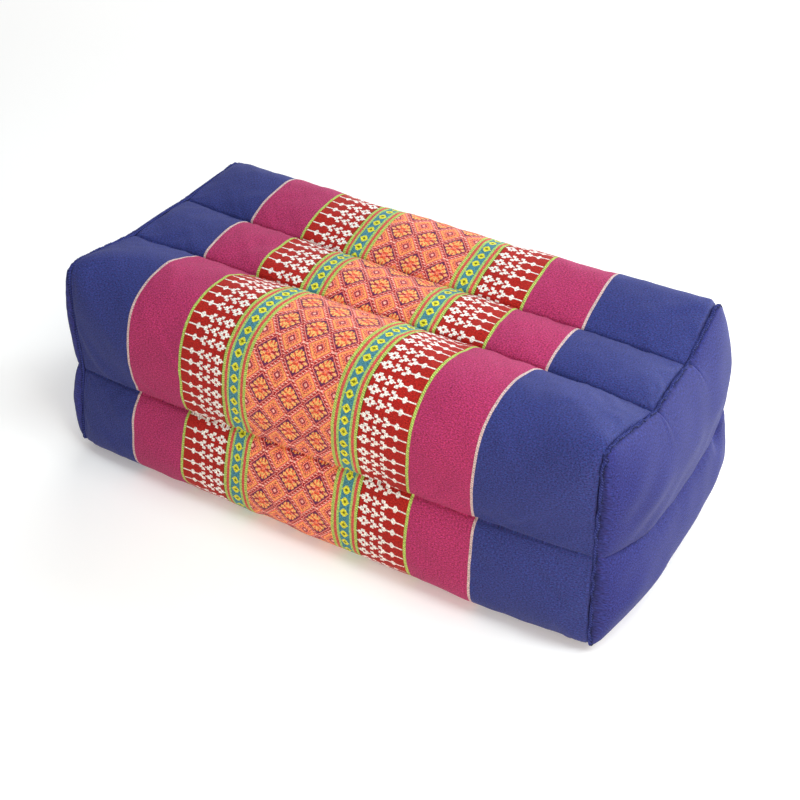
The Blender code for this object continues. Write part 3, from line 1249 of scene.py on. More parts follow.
@dataclass
class WovenWrap:
    """The woven wrap cloth round the filling."""

    shape: CushionShape
    layout: WeaveLayout
    node: str = "cushion_body"
    groove_depths: tuple[float, ...] = (0.8, 1.8, 1.8, 0.8, 0.8, 0.8, 0.8)
    groove_width: float = 0.75
    lumps: Unevenness = Unevenness(0.22, 70.0, 45.0, 11)
    small_lumps: Unevenness = Unevenness(0.09, 20.0, 16.0, 12)
    lumps_ease: float = 5.0
    lumps_power: float = 0.7
    ripples: Unevenness = Unevenness(0.09, 12.0, 70.0, 13)
    ripple_reach: float = 4.0
    pleats: PleatFan = PleatFan(0.40, 7.0)
    stitch_ease: float = 1.5
    edge_ease: float = 3.0
    groove_at_edge: float = 0.35
    hidden_dome: float = 0.08
    hidden_weave: float = 0.14
    simulated_share: float = 0.35
    stations: np.ndarray = field(init=False)
    surface: np.ndarray = field(init=False)

    def __post_init__(self) -> None:
        """Works out the smooth surface."""
        self.stations = self.shape.stations()
        self.surface = self.shape.wrap_surface(self.stations)

    def arcs(self) -> tuple[np.ndarray, float]:
        """Lengths along the section half way along the cushion.

        Returns:
            The length from the front crease to each column, and the whole girth.
        """
        middle = self.surface[len(self.surface) // 2][:, 1:]
        middle = np.concatenate([middle, middle[:1]])
        steps = np.linalg.norm(np.diff(middle, axis=0), axis=1)
        arc = np.concatenate([[0.0], np.cumsum(steps)])
        return arc, float(arc[-1])

    def puckers(self, arc: np.ndarray) -> np.ndarray:
        """How far the cloth stands from the smooth surface, in millimetres.

        It adds the filling's soft lumps, ripples that die away from each sewn seam and short pleats that fan
        out from each seam's two ends. It takes off the narrow groove that the stitches pull along each seam.

        Args:
            arc: Length round the section at each column.

        Returns:
            Heights shaped (stations, columns + 1).
        """
        along = self.stations[:, None] * self.shape.seam_to_seam / 2
        round_it = arc[None, :]
        seams = arc[self.shape.seam_columns()]
        seam_gap = np.abs(round_it[..., None] - seams).min(axis=-1)
        end_gap = (1 - np.abs(self.stations[:, None])) * self.shape.seam_to_seam / 2
        lumps = self.lumps.over(along, round_it) + self.small_lumps.over(along, round_it)
        ripple = self.ripples.over(along, round_it) * np.exp(-seam_gap / self.ripple_reach)
        fans = self.pleats.over(end_gap + 0 * round_it, round_it - seams[:, None, None])
        nearest = np.abs(round_it[..., None] - seams).argmin(axis=-1)
        groove = np.array(self.groove_depths)[nearest] * np.exp(-seam_gap / self.groove_width)
        settle = (seam_gap / self.lumps_ease).clip(0, 1) ** self.lumps_power
        stitched = (seam_gap / self.stitch_ease).clip(0, 1)
        edge = (end_gap / self.edge_ease).clip(0, 1)
        folds = lumps * settle + ripple * stitched + fans * stitched
        return folds * edge - groove * (end_gap / self.stitch_ease).clip(self.groove_at_edge, 1)

    def pressed(self, arc: np.ndarray) -> np.ndarray:
        """The fine folds that the filling's pressure gives, from a cloth simulation on a coarser net.

        Args:
            arc: Length round the section at each column.

        Returns:
            Heights shaped (stations, columns + 1), in millimetres.
        """
        net = self.surface[::2, ::2]
        held = np.zeros(net.shape[:2], bool)
        held[[0, -1]] = True
        held[:, (self.shape.seam_columns()[:-1] // 2)] = True
        folds = FillingPressure().folds(net, held, True, 1)
        folds = np.concatenate([folds, folds[:, :1]], axis=1)
        rows = np.arange(len(self.stations)) / 2
        columns = np.linspace(0, folds.shape[1] - 1, len(arc))
        return between_cells(folds, rows, columns)

    def build(self, finish: Material) -> Piece:
        """Makes the wrap as one closed mesh: the long surface and the two domed ends under the panels.

        Args:
            finish: The wrap's cotton.

        Returns:
            The piece.
        """
        arc, girth = self.arcs()
        closed = np.concatenate([self.surface, self.surface[:, :1]], axis=1)
        height = self.puckers(arc)
        height = height + self.simulated_share * self.pressed(arc)
        lifted = closed + grid_normals(closed) * height[..., None]
        lifted[:, -1] = lifted[:, 0]
        lifted[..., 2] = np.maximum(lifted[..., 2], 0.0)
        count, columns = lifted.shape[:2]
        places = lifted[:, :-1].reshape(-1, 3)
        faces = grid_faces(count, columns, True)
        row, column = np.divmod(faces, columns)
        welded = row * (columns - 1) + column % (columns - 1)
        lengthwise = self.stations[:, None] * self.shape.seam_to_seam / 2
        lengthwise = lengthwise - self.layout.shift_at(arc, girth)[None]
        weave = self.layout.rows_at(arc, girth)[None] + self.layout.slant * lengthwise
        uv = np.stack([lengthwise, weave], axis=-1).reshape(-1, 2)[faces.ravel()] * MM
        parts, all_faces, all_uv = [places], [welded], [uv]
        base = len(places)
        for end, station in ((End.LEFT, 0), (End.RIGHT, count - 1)):
            net = self.shape.end_grid(self.surface[station])
            net[..., 0] += end.value * self.hidden_dome * self.shape.dome()
            rows, width = net.shape[:2]
            parts.append(net.reshape(-1, 3))
            cells = grid_faces(rows, width, end is End.LEFT) + base
            all_faces.append(cells)
            all_uv.append(np.full((cells.size, 2), (end.value * self.hidden_weave, 0.0)))
            base += rows * width
        points, joined = weld(np.concatenate(parts), np.concatenate(all_faces))
        piece = make_piece("woven_wrap", points, joined, finish, np.concatenate(all_uv))
        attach(piece, "root")
        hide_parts(self.node)
        LOG.info("woven wrap: %d faces, girth %.1f mm", len(joined), girth)
        return piece


def weld(points: np.ndarray, faces: np.ndarray, places: int = 5) -> tuple[np.ndarray, np.ndarray]:
    """Joins points that are the same once rounded.

    Args:
        points: Points in millimetres, shaped (count, 3).
        faces: Vertex numbers of the faces.
        places: Decimal places of a millimetre that are kept.

    Returns:
        The points left, and the faces with their new vertex numbers.
    """
    _, first, index = np.unique(np.round(points, places), axis=0, return_index=True, return_inverse=True)
    return points[first], index.reshape(-1)[faces]


@dataclass(frozen=True)
class PlainCotton:
    """The plain purple-blue cotton of the end panels."""

    colour: Colour = srgb(48, 60, 140)
    deep: Colour = srgb(57, 49, 116)
    dye: YarnDye = YarnDye()
    streak_stretch: float = 0.7
    cloud_scale: float = 0.04
    clouds: tuple[float, float] = (0.70, 0.90)
    thread: float = 0.42
    thread_relief: float = 0.25
    streak_relief: float = 0.5

    def material(self) -> Material:
        """Builds the finish: mottled dye, and the bump of a plain weave's crossing threads.

        Returns:
            The material.
        """
        graph = Graph("plain_end_cotton")
        u, v = graph.cloth_place()
        streak = self.dye.streaked(graph, graph.vector(u, graph.math("MULTIPLY", v, self.streak_stretch)))
        cloud = graph.noise(graph.vector(u, v), self.cloud_scale)
        colour = self.dye.speckled(graph, self.deep, self.colour, u, v)
        colour = self.dye.shaded(graph, colour, streak, cloud, self.clouds)
        graph.cloth(colour, rough=0.85, sheen=0.06, sheen_tint=(0.8, 0.8, 1.0))
        weft = graph.math("SINE", graph.math("MULTIPLY", u, 2 * math.pi / self.thread))
        warp = graph.math("SINE", graph.math("MULTIPLY", v, 2 * math.pi / self.thread))
        crossing = graph.math("MULTIPLY", weft, warp)
        fuzz = graph.math("MULTIPLY", streak, self.streak_relief)
        height = graph.math("MULTIPLY_ADD", crossing, self.thread_relief, fuzz)
        graph.bump(height, distance=0.0002, strength=0.4)
        return graph.material


@dataclass(frozen=True)
class WovenCotton:
    """The patterned cotton of the wrap."""

    layout: WeaveLayout = WeaveLayout()
    yarns: YarnColours = YarnColours()
    dye: YarnDye = YarnDye()
    thread: float = 0.55
    thread_relief: float = 0.14
    fuzz_relief: float = 0.3

    def material(self) -> Material:
        """Builds the finish: charted yarn colours, with the figured yarns standing a little proud.

        Returns:
            The material.
        """
        graph = Graph("woven_wrap_cotton")
        colour, relief = self.layout.colour(graph, self.yarns, self.dye)
        graph.cloth(colour, rough=0.88, sheen=0.05, sheen_tint=(1.0, 0.92, 0.92))
        u, v = graph.cloth_place()
        fuzz = graph.noise(graph.vector(u, v), scale=2.0, rough=0.7)
        ribs = graph.math("SINE", graph.math("MULTIPLY", v, 2 * math.pi / self.thread))
        height = graph.math("MULTIPLY", fuzz, self.fuzz_relief)
        height = graph.math("MULTIPLY_ADD", ribs, self.thread_relief, height)
        graph.bump(graph.math("ADD", height, relief), distance=0.0003, strength=0.55)
        return graph.material


@dataclass(frozen=True)
class ThreadFinish:
    """Twisted sewing thread."""

    name: str
    colour: Colour
    light: Colour
    twist_rates: tuple[float, float] = (5.0, 6.0)
    fuzz_shades: tuple[float, float] = (0.6, 1.4)

    def material(self) -> Material:
        """Builds the finish: two shades twisted along the thread's own map.

        Returns:
            The material.
        """
        graph = Graph(self.name)
        u, v = graph.cloth_place()
        twist = graph.ticks(u, v, self.twist_rates)
        colour = graph.mix(twist, self.colour, self.light)
        fuzz = graph.spread(graph.noise(graph.vector(u, v), scale=2.0), *self.fuzz_shades)
        graph.cloth(graph.scaled(colour, fuzz), rough=0.85, sheen=0.05, sheen_tint=(0.8, 0.82, 1.0))
        graph.bump(twist, distance=0.0002, strength=0.6)
        return graph.material


@dataclass
class EndPanel:
    """One plain cloth over a domed end, creased across at mid height.

    Heights, depths and pleats are in millimetres. The reaches of the lip, the fold and the pocket are shares
    of the end's height. The opening's place and width are shares of its half width.
    """

    shape: CushionShape
    loop: np.ndarray
    end: End
    thickness: float = 1.0
    above_wrap: float = 0.45
    inset: float = 1.6
    half_width: float = 82.0
    rim_half_width: float = 85.0
    height: float = 120.0
    evened_from: float = 5.0
    across_power: float = 3.0
    lip: float = 4.5
    lip_reach: float = 0.10
    lip_at_opening: float = 0.8
    fold_depth: float = 4.0
    fold_power: float = 1.5
    fold_width: float = 0.016
    fold_below: float = 0.035
    fold_below_shares: tuple[float, float] = (0.9, 0.5)
    opening_at: float = 0.72
    opening_width: float = 0.10
    opening_rise: float = 1.0
    opening_spread: float = 0.18
    pocket_depth: float = 1.7
    pocket_below: float = 0.085
    pocket_spread: float = 0.045
    lumps: Unevenness = Unevenness(0.30, 45.0, 30.0, 22)
    lumps_ease: float = 14.0
    gathers: Unevenness = Unevenness(0.22, 9.0, 60.0, 23)
    gathers_spread: float = 0.05
    seam_marks: tuple[float, ...] = (-1.0, -1 / 3, 1 / 3, 1.0)
    top_pleats: PleatFan = PleatFan(0.8, 4.5)
    foot_pleats: PleatFan = PleatFan(0.6, 4.5)
    front_pleats: PleatFan = PleatFan(0.35, 6.0)
    back_pleats: PleatFan = PleatFan(1.1, 12.0)
    pleats_ease: float = 1.5
    simulated_rows: int = 60
    simulated_columns: int = 80
    simulated_width: float = 165.0
    simulated_most: float = 0.8
    simulated_fade: float = 8.0
    simulated_share: float = 0.4

    def net(self) -> np.ndarray:
        """The domed net with its crease and pleats, rows upwards and columns front to back.

        Away from the rim, the dips under the wrap's seams are evened out. The upper half hangs over the
        crease: just above it the cloth moves down by a rise and fall over the height. The crease itself is a
        narrow bell curve, wider below, and near its back end a second bell curve under it is the opening's
        pocket. Small gathers lie along it. Pleats fan out from the ends of the wrap's seams, from the four
        corners and from the crease's two ends.

        Returns:
            Points shaped (rows, columns, 3).
        """
        net = self.shape.end_grid(self.loop)
        columns, rows = self.shape.end_places()
        y = 2 * columns[None, :] - 1
        z = rows[:, None]
        side = (1 - np.abs(y)) * self.rim_half_width + 0 * z
        edge = np.minimum(side, np.minimum(z, 1 - z) * self.height)
        inner = 1 - np.exp(-edge / self.evened_from)
        net = net + (self.evened(net, columns) - net) * inner[..., None]
        net[..., 0] += self.end.value * self.shape.dome()
        across = (1 - np.abs(y) ** self.across_power).clip(0)
        gap = z - self.shape.dome_crease_at
        open_at = np.exp(-(((y - self.opening_at) / self.opening_width) ** 2))
        above = (gap / (1 - self.shape.dome_crease_at)).clip(0) / self.lip_reach
        net[..., 2] -= self.lip * (across + self.lip_at_opening * open_at) * above * np.exp(1 - above)
        net[..., 2] += self.opening_rise * open_at * np.exp(-((gap / self.opening_spread) ** 2))
        plain, opened = self.fold_below_shares
        reach = np.where(gap < 0, self.fold_below * (plain + opened * open_at), self.fold_width)
        fold = across * np.exp(-((np.abs(gap) / reach) ** self.fold_power))
        pocket = np.exp(-(((gap + self.pocket_below) / self.pocket_spread) ** 2))
        fold = fold + self.pocket_depth * open_at * pocket
        lump = self.lumps.over(net[..., 1], net[..., 2]) * (edge / self.lumps_ease).clip(0, 1)
        gather = self.gathers.over(net[..., 1], net[..., 2])
        gather = gather * np.exp(-np.abs(gap) / self.gathers_spread) * across
        pleats = self.fanned(y, z, gap) * (edge / self.pleats_ease).clip(0, 1)
        net[..., 0] += self.end.value * (lump + gather + pleats - self.fold_depth * fold)
        return net

    def fanned(self, y: np.ndarray, z: np.ndarray, gap: np.ndarray) -> np.ndarray:
        """The pleats that fan out from the seams' ends, the corners and the crease's two ends.

        Args:
            y: Place across the end from -1 to 1, shaped (1, columns).
            z: Place up the end from 0 to 1, shaped (rows, 1).
            gap: Height above the crease in the same share, shaped (rows, 1).

        Returns:
            Heights shaped (rows, columns).
        """
        marks = np.array(self.seam_marks)[:, None, None] * self.half_width
        beside = y * self.half_width - marks
        top = self.top_pleats.over((1 - z) * self.height + 0 * y, beside)
        foot = self.foot_pleats.over(z * self.height + 0 * y, beside)
        level = gap[None] * self.height
        crease = self.front_pleats.over((1 + y) * self.half_width + 0 * z, level)
        crease = crease + self.back_pleats.over((1 - y) * self.half_width + 0 * z, level)
        return top + foot + crease

    def evened(self, net: np.ndarray, columns: np.ndarray) -> np.ndarray:
        """The net without the dips under the wrap's seams: each row follows a cubic in its place.

        Args:
            net: Points shaped (rows, columns, 3).
            columns: Places of the columns from 0 to 1.

        Returns:
            Points shaped the same.
        """
        powers = np.stack([columns**0, columns, columns**2, columns**3], axis=-1)
        fit = powers @ np.linalg.pinv(powers)
        return np.einsum("ij,rjk->rik", fit, net)

    def pressed(self, net: np.ndarray) -> np.ndarray:
        """The fine folds that the filling's pressure gives near the rim.

        A cloth simulation runs on an evenly spaced net, held at its rim and along the crease. Its folds die
        away with the distance from the rim.

        Args:
            net: The panel's net, shaped (rows, columns, 3).

        Returns:
            Heights shaped (rows, columns), in millimetres.
        """
        columns, rows = self.shape.end_places()
        down = np.interp(np.linspace(0, 1, self.simulated_rows + 1), rows, np.arange(len(rows)))
        over = np.interp(np.linspace(0, 1, self.simulated_columns + 1), columns, np.arange(len(columns)))
        even = np.stack([between_cells(net[..., axis], down, over) for axis in range(3)], axis=-1)
        held = np.zeros(even.shape[:2], bool)
        held[[0, -1]] = True
        held[:, [0, -1]] = True
        held[int(round(self.shape.dome_crease_at * self.simulated_rows))] = True
        folds = FillingPressure(most=self.simulated_most).folds(even, held, False, -self.end.value)
        below = np.minimum(rows, 1 - rows)[:, None] * self.height
        beside = np.minimum(columns, 1 - columns)[None] * self.simulated_width
        rim = np.minimum(below, beside)
        folds = between_cells(folds, rows * self.simulated_rows, columns * self.simulated_columns)
        return folds * np.exp(-rim / self.simulated_fade)

    def build(self, finish: Material) -> Piece:
        """Makes the panel as a thin closed sheet just above the wrap's domed end.

        Args:
            finish: The panel's cotton.

        Returns:
            The piece.
        """
        net = self.net()
        net[..., 0] += self.end.value * self.simulated_share * self.pressed(net)
        outward = grid_normals(net) * -self.end.value
        rows, columns = net.shape[:2]
        lying = net.copy()
        lying[0] += self.step(net[0], net[1])
        lying[-1] += self.step(net[-1], net[-2])
        lying[:, 0] += self.step(net[:, 0], net[:, 1])
        lying[:, -1] += self.step(net[:, -1], net[:, -2])
        outer = lying + outward * (self.above_wrap + self.thickness)
        inner = lying + outward * self.above_wrap
        size = rows * columns
        index = np.arange(size).reshape(rows, columns)
        rim = np.concatenate([index[0, :-1], index[:-1, -1], index[-1, :0:-1], index[:0:-1, 0]])
        onward = np.roll(rim, -1)
        walls = np.stack([rim, rim + size, onward + size, onward], axis=1)
        right = self.end is End.RIGHT
        faces = np.concatenate(
            [
                grid_faces(rows, columns, not right),
                grid_faces(rows, columns, right) + size,
                walls if right else walls[:, ::-1],
            ]
        )
        points = np.concatenate([outer.reshape(-1, 3), inner.reshape(-1, 3)])
        uv = points[faces.ravel()][:, 1:] * MM
        piece = make_piece("end_panel_cloth_" + self.end.label, points, faces, finish, uv)
        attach(piece, "root")
        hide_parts("end_panel_" + self.end.label)
        LOG.info("end panel %s: %d faces", self.end.label, len(faces))
        return piece

    def step(self, points: np.ndarray, towards: np.ndarray) -> np.ndarray:
        """The short way from each rim point towards its inner neighbour."""
        way = towards - points
        return way / np.linalg.norm(way, axis=-1, keepdims=True) * self.inset


def tube(path: np.ndarray, radius: float, sides: int) -> tuple[np.ndarray, np.ndarray, np.ndarray]:
    """A round tube along a closed path: a circle carried along it, square to the path at every point.

    Args:
        path: Points shaped (count, 3), the last one beside the first.
        radius: Radius of the circle.
        sides: Corners of the circle.

    Returns:
        Points, quads and the corners' map in metres.
    """
    ahead = np.roll(path, -1, axis=0) - np.roll(path, 1, axis=0)
    ahead = ahead / np.linalg.norm(ahead, axis=-1, keepdims=True).clip(1e-9)
    lengthwise = np.abs(ahead[:, :1]) > 0.9
    hint = np.where(lengthwise, np.array([[0.0, 1.0, 0.0]]), np.array([[1.0, 0.0, 0.0]]))
    side = np.cross(ahead, hint)
    side = side / np.linalg.norm(side, axis=-1, keepdims=True).clip(1e-9)
    over = np.cross(ahead, side)
    turn = np.linspace(0, 2 * np.pi, sides, endpoint=False)
    ring = side[:, None] * np.cos(turn)[None, :, None] + over[:, None] * np.sin(turn)[None, :, None]
    points = path[:, None] + ring * radius
    count = len(path)
    i = np.arange(count)[:, None]
    j = np.arange(sides)[None, :]
    next_i = (i + 1) % count
    next_j = (j + 1) % sides
    near = [i * sides + j, i * sides + next_j]
    far = [next_i * sides + next_j, next_i * sides + j]
    faces = np.stack(near + far, axis=-1).reshape(-1, 4)
    step = np.linalg.norm(np.diff(np.concatenate([path, path[:1]]), axis=0), axis=1)
    length = np.concatenate([[0.0], np.cumsum(step)])
    corner = np.stack([i + 0 * j, i + 0 * j, i + 1 + 0 * j, i + 1 + 0 * j], axis=-1).reshape(-1)
    swing = np.stack([j + 0 * i, j + 1 + 0 * i, j + 1 + 0 * i, j + 0 * i], axis=-1).reshape(-1)
    uv = np.stack([length[corner], swing / sides * 2 * np.pi * radius], axis=-1) * MM
    return points.reshape(-1, 3), faces, uv


@dataclass
class OverlockedSeam:
    """The seam allowance that stands out round one end, with its overlock thread, in millimetres."""

    loop: np.ndarray
    end: End
    loop_points: int = 900
    tangent_points: int = 3
    waves: tuple[int, ...] = (9, 17, 31, 47, 62)
    wander: float = 0.9
    wander_shift: int = 40
    stand_left: float = 1.9
    stand_right: float = 2.4
    stand_wave: float = 0.16
    stand_shift: int = 25
    stand_bunch: float = 0.25
    lean_left: float = 55.0
    lean_right: float = 60.0
    lean_wave: float = 0.40
    lean_bunch: float = 0.5
    bunch_waves: int = 120
    bunch_reach: float = 6.0
    gap: float = 0.35
    width: float = 0.8
    allowance_below_edge: float = 0.25
    allowance_off_floor: float = 0.25
    allowance_share: float = 0.42
    allowance_sides: int = 12
    map_step: float = 0.6
    winding_low: float = 0.55
    winding_clear: float = 0.12
    winding_off_floor: float = 0.4
    loop_pitch: float = 1.5
    loop_samples: int = 12
    thread_radius: float = 0.17
    thread_sides: int = 5
    edge_radius: float = 0.24
    edge_sides: int = 6
    edge_off_floor: float = 0.05

    def __post_init__(self) -> None:
        """Spaces the seam loop evenly."""
        self.loop = respaced(self.loop, self.loop_points)

    def frame(self) -> tuple[np.ndarray, np.ndarray, np.ndarray]:
        """How the allowance stands at each point of the loop.

        Its waviness is the mean of several sines of the turn round the loop. It leans from square outwards
        towards the end by a resting angle, its waviness, and a quick wave where the cloth bunches.

        Returns:
            The direction of its height, the direction of its thickness, and its waviness.
        """
        reach = self.tangent_points
        along = np.roll(self.loop, -reach, axis=0) - np.roll(self.loop, reach, axis=0)
        along[:, 0] = 0
        along = along / np.linalg.norm(along, axis=-1, keepdims=True)
        outward = np.stack([np.zeros(len(self.loop)), -along[:, 2], along[:, 1]], axis=-1)
        turn = np.linspace(0, 2 * np.pi, len(self.loop), endpoint=False)
        wave = sum(np.sin(turn * n + n * n) for n in self.waves) / len(self.waves)
        rest = math.radians(self.lean_left if self.end is End.LEFT else self.lean_right)
        bunch = self.lean_bunch * self.bunched() * np.sin(turn * self.bunch_waves)
        angle = rest + self.lean_wave * wave + bunch
        side = np.array([[self.end.value, 0.0, 0.0]])
        lean = outward * np.cos(angle)[:, None] + side * np.sin(angle)[:, None]
        across = side * np.cos(angle)[:, None] - outward * np.sin(angle)[:, None]
        return lean, across, wave

    def bunched(self) -> np.ndarray:
        """How bunched the cloth is: bell curves at the loop's four corners.

        Returns:
            A share from 0 to 1 at each point of the loop.
        """
        middle = (self.loop.min(axis=0) + self.loop.max(axis=0)) / 2
        half = (self.loop.max(axis=0) - self.loop.min(axis=0)) / 2
        share = np.abs((self.loop - middle)[:, 1:] / half[1:])
        reach = (1 - share) * half[1:]
        return np.exp(-((np.hypot(reach[:, 0], reach[:, 1]) / self.bunch_reach) ** 2))

    def build(self, cloth: Material, thread: Material, edge: Material) -> list[Piece]:
        """Makes the allowance, its wound thread and its edge thread.

        Args:
            cloth: Finish of the turned allowance.
            thread: Finish of the wound thread.
            edge: Finish of the edge thread.

        Returns:
            The three pieces in that order.
        """
        lean, across, wave = self.frame()
        self.loop = self.loop + across * (self.wander * np.roll(wave, self.wander_shift))[:, None]
        stand = self.stand_left if self.end is End.LEFT else self.stand_right
        swell = self.stand_wave * np.roll(wave, self.stand_shift)
        height = stand * (1 + swell + self.stand_bunch * self.bunched())
        pieces = [
            self.allowance(lean, across, height, cloth),
            self.winding(lean, across, height, thread),
            self.edge_thread(lean, across, height, edge),
        ]
        names = ("overlocked_allowance_", "overlock_loops_", "overlock_edge_thread_")
        for piece, name in zip(pieces, names):
            piece.name = name + self.end.label
            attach(piece, "root")
        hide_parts("seam_edge_" + self.end.label)
        LOG.info("overlocked seam %s: %d pieces", self.end.label, len(pieces))
        return pieces

    def allowance(self, lean: np.ndarray, across: np.ndarray, height: np.ndarray, cloth: Material) -> Piece:
        """The thin turned cloth: a rounded profile carried round the loop.

        Args:
            lean: Direction of its height at each point of the loop.
            across: Direction of its thickness there.
            height: How far it stands out there.
            cloth: Its finish.

        Returns:
            The piece.
        """
        turn = np.linspace(0, 2 * np.pi, self.allowance_sides, endpoint=False)
        low, high = self.gap, height[:, None] - self.allowance_below_edge
        tall = (low + high) / 2 - (high - low) / 2 * np.cos(turn)[None, :]
        wide = np.broadcast_to(self.allowance_share * self.width * np.sin(turn)[None, :], tall.shape)
        points = self.loop[:, None] + lean[:, None] * tall[..., None] + across[:, None] * wide[..., None]
        points[..., 2] = np.maximum(points[..., 2], self.allowance_off_floor)
        net = np.concatenate([points, points[:, :1]], axis=1)
        net = np.concatenate([net, net[:1]], axis=0)
        rows, columns = net.shape[:2]
        faces = grid_faces(rows, columns, self.end is End.LEFT)
        places = [np.arange(rows) * self.map_step, np.arange(columns) * self.map_step]
        uv = np.stack(np.meshgrid(*places, indexing="ij"), -1).reshape(-1, 2)[faces.ravel()] * MM
        points, faces = weld(net.reshape(-1, 3), faces)
        return make_piece("allowance", points, faces, cloth, uv)

    def winding(self, lean: np.ndarray, across: np.ndarray, height: np.ndarray, thread: Material) -> Piece:
        """The thread wound over the edge: one long loop that circles the allowance as it goes round the end.

        Each circle is an upright oval. Its top rises and falls by the sum of two slow sines along the loop.

        Args:
            lean: Direction of the allowance's height at each point of the loop.
            across: Direction of its thickness there.
            height: How far it stands out there.
            thread: The thread's finish.

        Returns:
            The piece.
        """
        step = np.linalg.norm(np.roll(self.loop, -1, axis=0) - self.loop, axis=1)
        loops = int(round(step.sum() / self.loop_pitch))
        samples = loops * self.loop_samples
        at = np.arange(samples) / samples * len(self.loop)
        turn = 2 * np.pi * np.arange(samples) / self.loop_samples
        jitter = 0.12 * np.sin(at * 0.37) + 0.1 * np.sin(at * 0.83 + 1.0)
        base = sampled(self.loop, at)
        lean_at, across_at = sampled(lean, at), sampled(across, at)
        top = sampled(height[:, None], at)[:, 0] + jitter
        low = self.winding_low
        tall = (low + top) / 2 - (top - low) / 2 * np.cos(turn)
        wide = (self.width / 2 + self.winding_clear) * np.sin(turn)
        path = base + lean_at * tall[:, None] + across_at * wide[:, None]
        path[:, 2] = np.maximum(path[:, 2], self.winding_off_floor)
        points, faces, uv = tube(path, self.thread_radius, self.thread_sides)
        return make_piece("winding", points, faces, thread, uv)

    def edge_thread(self, lean: np.ndarray, across: np.ndarray, height: np.ndarray, edge: Material) -> Piece:
        """The thread that lies along the edge and catches each loop, swaying by one sine each way.

        Args:
            lean: Direction of the allowance's height at each point of the loop.
            across: Direction of its thickness there.
            height: How far it stands out there.
            edge: The thread's finish.

        Returns:
            The piece.
        """
        at = np.arange(0, len(self.loop), 0.5)
        tall = sampled(height[:, None], at) + 0.12 * np.sin(at * 1.9)[:, None]
        path = sampled(self.loop, at) + sampled(lean, at) * tall
        path = path + sampled(across, at) * (0.35 + 0.22 * np.sin(at * 1.3))[:, None]
        path[:, 2] = np.maximum(path[:, 2], self.edge_radius + self.edge_off_floor)
        points, faces, uv = tube(path, self.edge_radius, self.edge_sides)
        return make_piece("edge_thread", points, faces, edge, uv)


def sampled(rows: np.ndarray, at: np.ndarray) -> np.ndarray:
    """Rows of a closed table at fractional places, blended between neighbours.

    Args:
        rows: The table, shaped (count, values).
        at: Fractional row numbers.

    Returns:
        Values shaped (row numbers, values).
    """
    whole = np.floor(at).astype(int)
    share = (at - whole)[:, None]
    count = len(rows)
    return rows[whole % count] * (1 - share) + rows[(whole + 1) % count] * share


def respaced(loop: np.ndarray, count: int) -> np.ndarray:
    """A closed loop's points at even distances along it.

    Args:
        loop: Points shaped (points, 3).
        count: How many points it gets.

    Returns:
        Points shaped (count, 3).
    """
    closed = np.concatenate([loop, loop[:1]])
    length = np.concatenate([[0.0], np.cumsum(np.linalg.norm(np.diff(closed, axis=0), axis=1))])
    at = np.linspace(0, length[-1], count, endpoint=False)
    return np.stack([np.interp(at, length, closed[:, axis]) for axis in range(3)], axis=-1)


@dataclass(frozen=True)
class SoftLamp:
    """One square soft light that faces the cushion, in metres and watts."""

    name: str
    place: Place
    size: float
    watts: float
    tint: Colour
    aim: Place = (0.0, 0.0, 0.06)

    def build(self) -> None:
        """Makes the light and turns it towards the cushion's middle."""
        data = bpy.data.lights.new(self.name, "AREA")
        data.size = self.size
        data.energy = self.watts
        data.color = self.tint
        lamp = bpy.data.objects.new(self.name, data)
        lamp.location = self.place
        towards = Vector(self.aim) - Vector(self.place)
        lamp.rotation_euler = towards.to_track_quat("-Z", "Y").to_euler()
        bpy.context.scene.collection.objects.link(lamp)


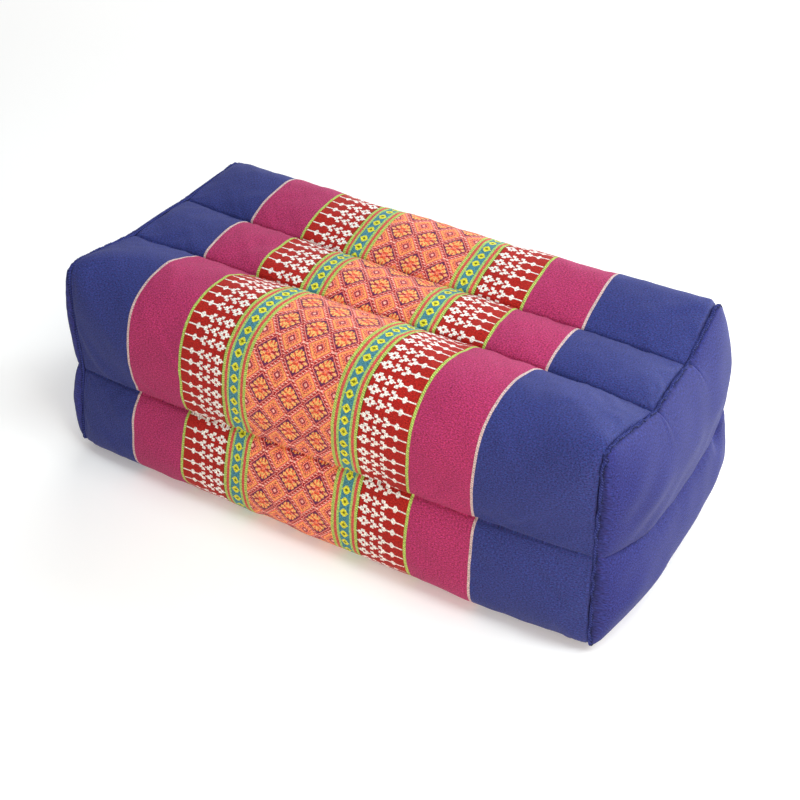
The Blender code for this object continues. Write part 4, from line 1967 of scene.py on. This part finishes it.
@dataclass(frozen=True)
class Studio:
    """The pale floor, the soft lights and the camera at the photograph's angle."""

    azimuth: float = 29.39
    elevation: float = 34.67
    roll: float = 1.61
    distance: float = 661.1
    target: Place = (7.02, -1.97, 48.17)
    lens: float = 52.95
    world_strength: float = 0.34
    world_colour: Colour = (0.92, 0.96, 1.0)
    floor_radius: float = 9000.0
    floor_sides: int = 64
    floor_colour: Colour = (1.0, 0.98, 0.95)
    floor_shades: tuple[float, float] = (0.87, 0.89)
    floor_glow: float = 0.21
    lamps: tuple[SoftLamp, ...] = (
        SoftLamp("top_light", (0.42, -0.12, 0.80), 0.45, 5.6, (0.86, 0.95, 1.0)),
        SoftLamp("side_light", (0.42, 0.78, 0.18), 0.2, 5.6, (0.92, 0.97, 1.0)),
        SoftLamp("front_light", (0.46, -0.46, 0.30), 0.3, 1.6, (1.0, 0.82, 0.62)),
        SoftLamp("back_light", (-0.9, 2.4, 1.6), 2.0, 50.0, (1.0, 1.0, 1.0)),
    )

    def camera(self) -> None:
        """Places the camera on a sphere round its target and turns it by the photograph's small roll."""
        azimuth, elevation, roll = np.radians([self.azimuth, self.elevation, self.roll])
        back = Vector(
            (
                math.sin(azimuth) * math.cos(elevation),
                -math.cos(azimuth) * math.cos(elevation),
                math.sin(elevation),
            )
        )
        right = (-back).cross(Vector((0.0, 0.0, 1.0))).normalized()
        up = right.cross(-back)
        x_axis = right * math.cos(roll) + up * math.sin(roll)
        y_axis = -right * math.sin(roll) + up * math.cos(roll)
        place = (Vector(self.target) + back * self.distance) * MM
        data = bpy.data.cameras.new("camera")
        data.lens = self.lens
        data.sensor_width = 36.0
        data.sensor_fit = "HORIZONTAL"
        data.clip_start = 0.01
        data.clip_end = 50.0
        camera = bpy.data.objects.new("camera", data)
        turned = Matrix((x_axis, y_axis, back)).transposed().to_4x4()
        camera.matrix_world = Matrix.Translation(place) @ turned
        bpy.context.scene.collection.objects.link(camera)
        bpy.context.scene.camera = camera

    def floor(self) -> None:
        """Makes the floor: a wide disc, barely mottled, that glows a little."""
        graph = Graph("pale_floor")
        place = graph.tree.nodes.new("ShaderNodeTexCoord")
        shade = graph.spread(graph.noise(place.outputs["Object"], scale=3.0), *self.floor_shades)
        graph.feed(graph.shader.inputs["Base Color"], graph.scaled(self.floor_colour, shade))
        graph.shader.inputs["Emission Color"].default_value = (1.0, 1.0, 1.0, 1.0)
        graph.shader.inputs["Emission Strength"].default_value = self.floor_glow
        graph.shader.inputs["Roughness"].default_value = 0.9
        graph.shader.inputs["Specular IOR Level"].default_value = 0.0
        sides = self.floor_sides
        turn = np.linspace(0, 2 * np.pi, sides, endpoint=False)
        rim = np.stack([np.cos(turn), np.sin(turn), np.zeros(sides)], -1) * self.floor_radius
        corner = np.arange(sides)
        faces = np.stack([np.full(sides, sides), corner, (corner + 1) % sides], -1)
        floor = make_piece("floor", np.concatenate([rim, [[0.0, 0.0, 0.0]]]), faces, graph.material)

    def build(self) -> None:
        """Makes the floor, the world and the lights."""
        self.floor()
        scene = bpy.context.scene
        scene.view_settings.view_transform = "Standard"
        scene.world = bpy.data.worlds.new("studio")
        scene.world.use_nodes = True
        sky = scene.world.node_tree.nodes["Background"]
        sky.inputs[0].default_value = (*self.world_colour, 1.0)
        sky.inputs[1].default_value = self.world_strength
        for lamp in self.lamps:
            lamp.build()


def cushion_finishes() -> dict[str, Material]:
    """Makes every finish of the cushion.

    Returns:
        The materials by name.
    """
    return {
        "wrap": WovenCotton().material(),
        "panel": PlainCotton().material(),
        "allowance": ThreadFinish("turned_allowance", srgb(40, 46, 108), srgb(54, 60, 132)).material(),
        "thread": ThreadFinish("overlock_thread", srgb(52, 60, 132), srgb(88, 98, 182)).material(),
        "edge": ThreadFinish("overlock_edge_thread", srgb(16, 20, 56), srgb(38, 44, 100)).material(),
    }


def main() -> None:
    """Builds the cushion's pieces in order."""
    logging.basicConfig(level=logging.INFO, format="%(name)s: %(message)s")
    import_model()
    shape = CushionShape()
    finishes = cushion_finishes()
    wrap = WovenWrap(shape, WeaveLayout())
    wrap_piece = wrap.build(finishes["wrap"])
    for end, station in ((End.LEFT, 0), (End.RIGHT, -1)):
        loop = wrap.surface[station]
        panel = EndPanel(shape, loop, end).build(finishes["panel"])
        seam = OverlockedSeam(loop, end).build(finishes["allowance"], finishes["thread"], finishes["edge"])
    studio = Studio()
    studio.build()
    studio.camera()


if __name__ == "__main__":
    main()
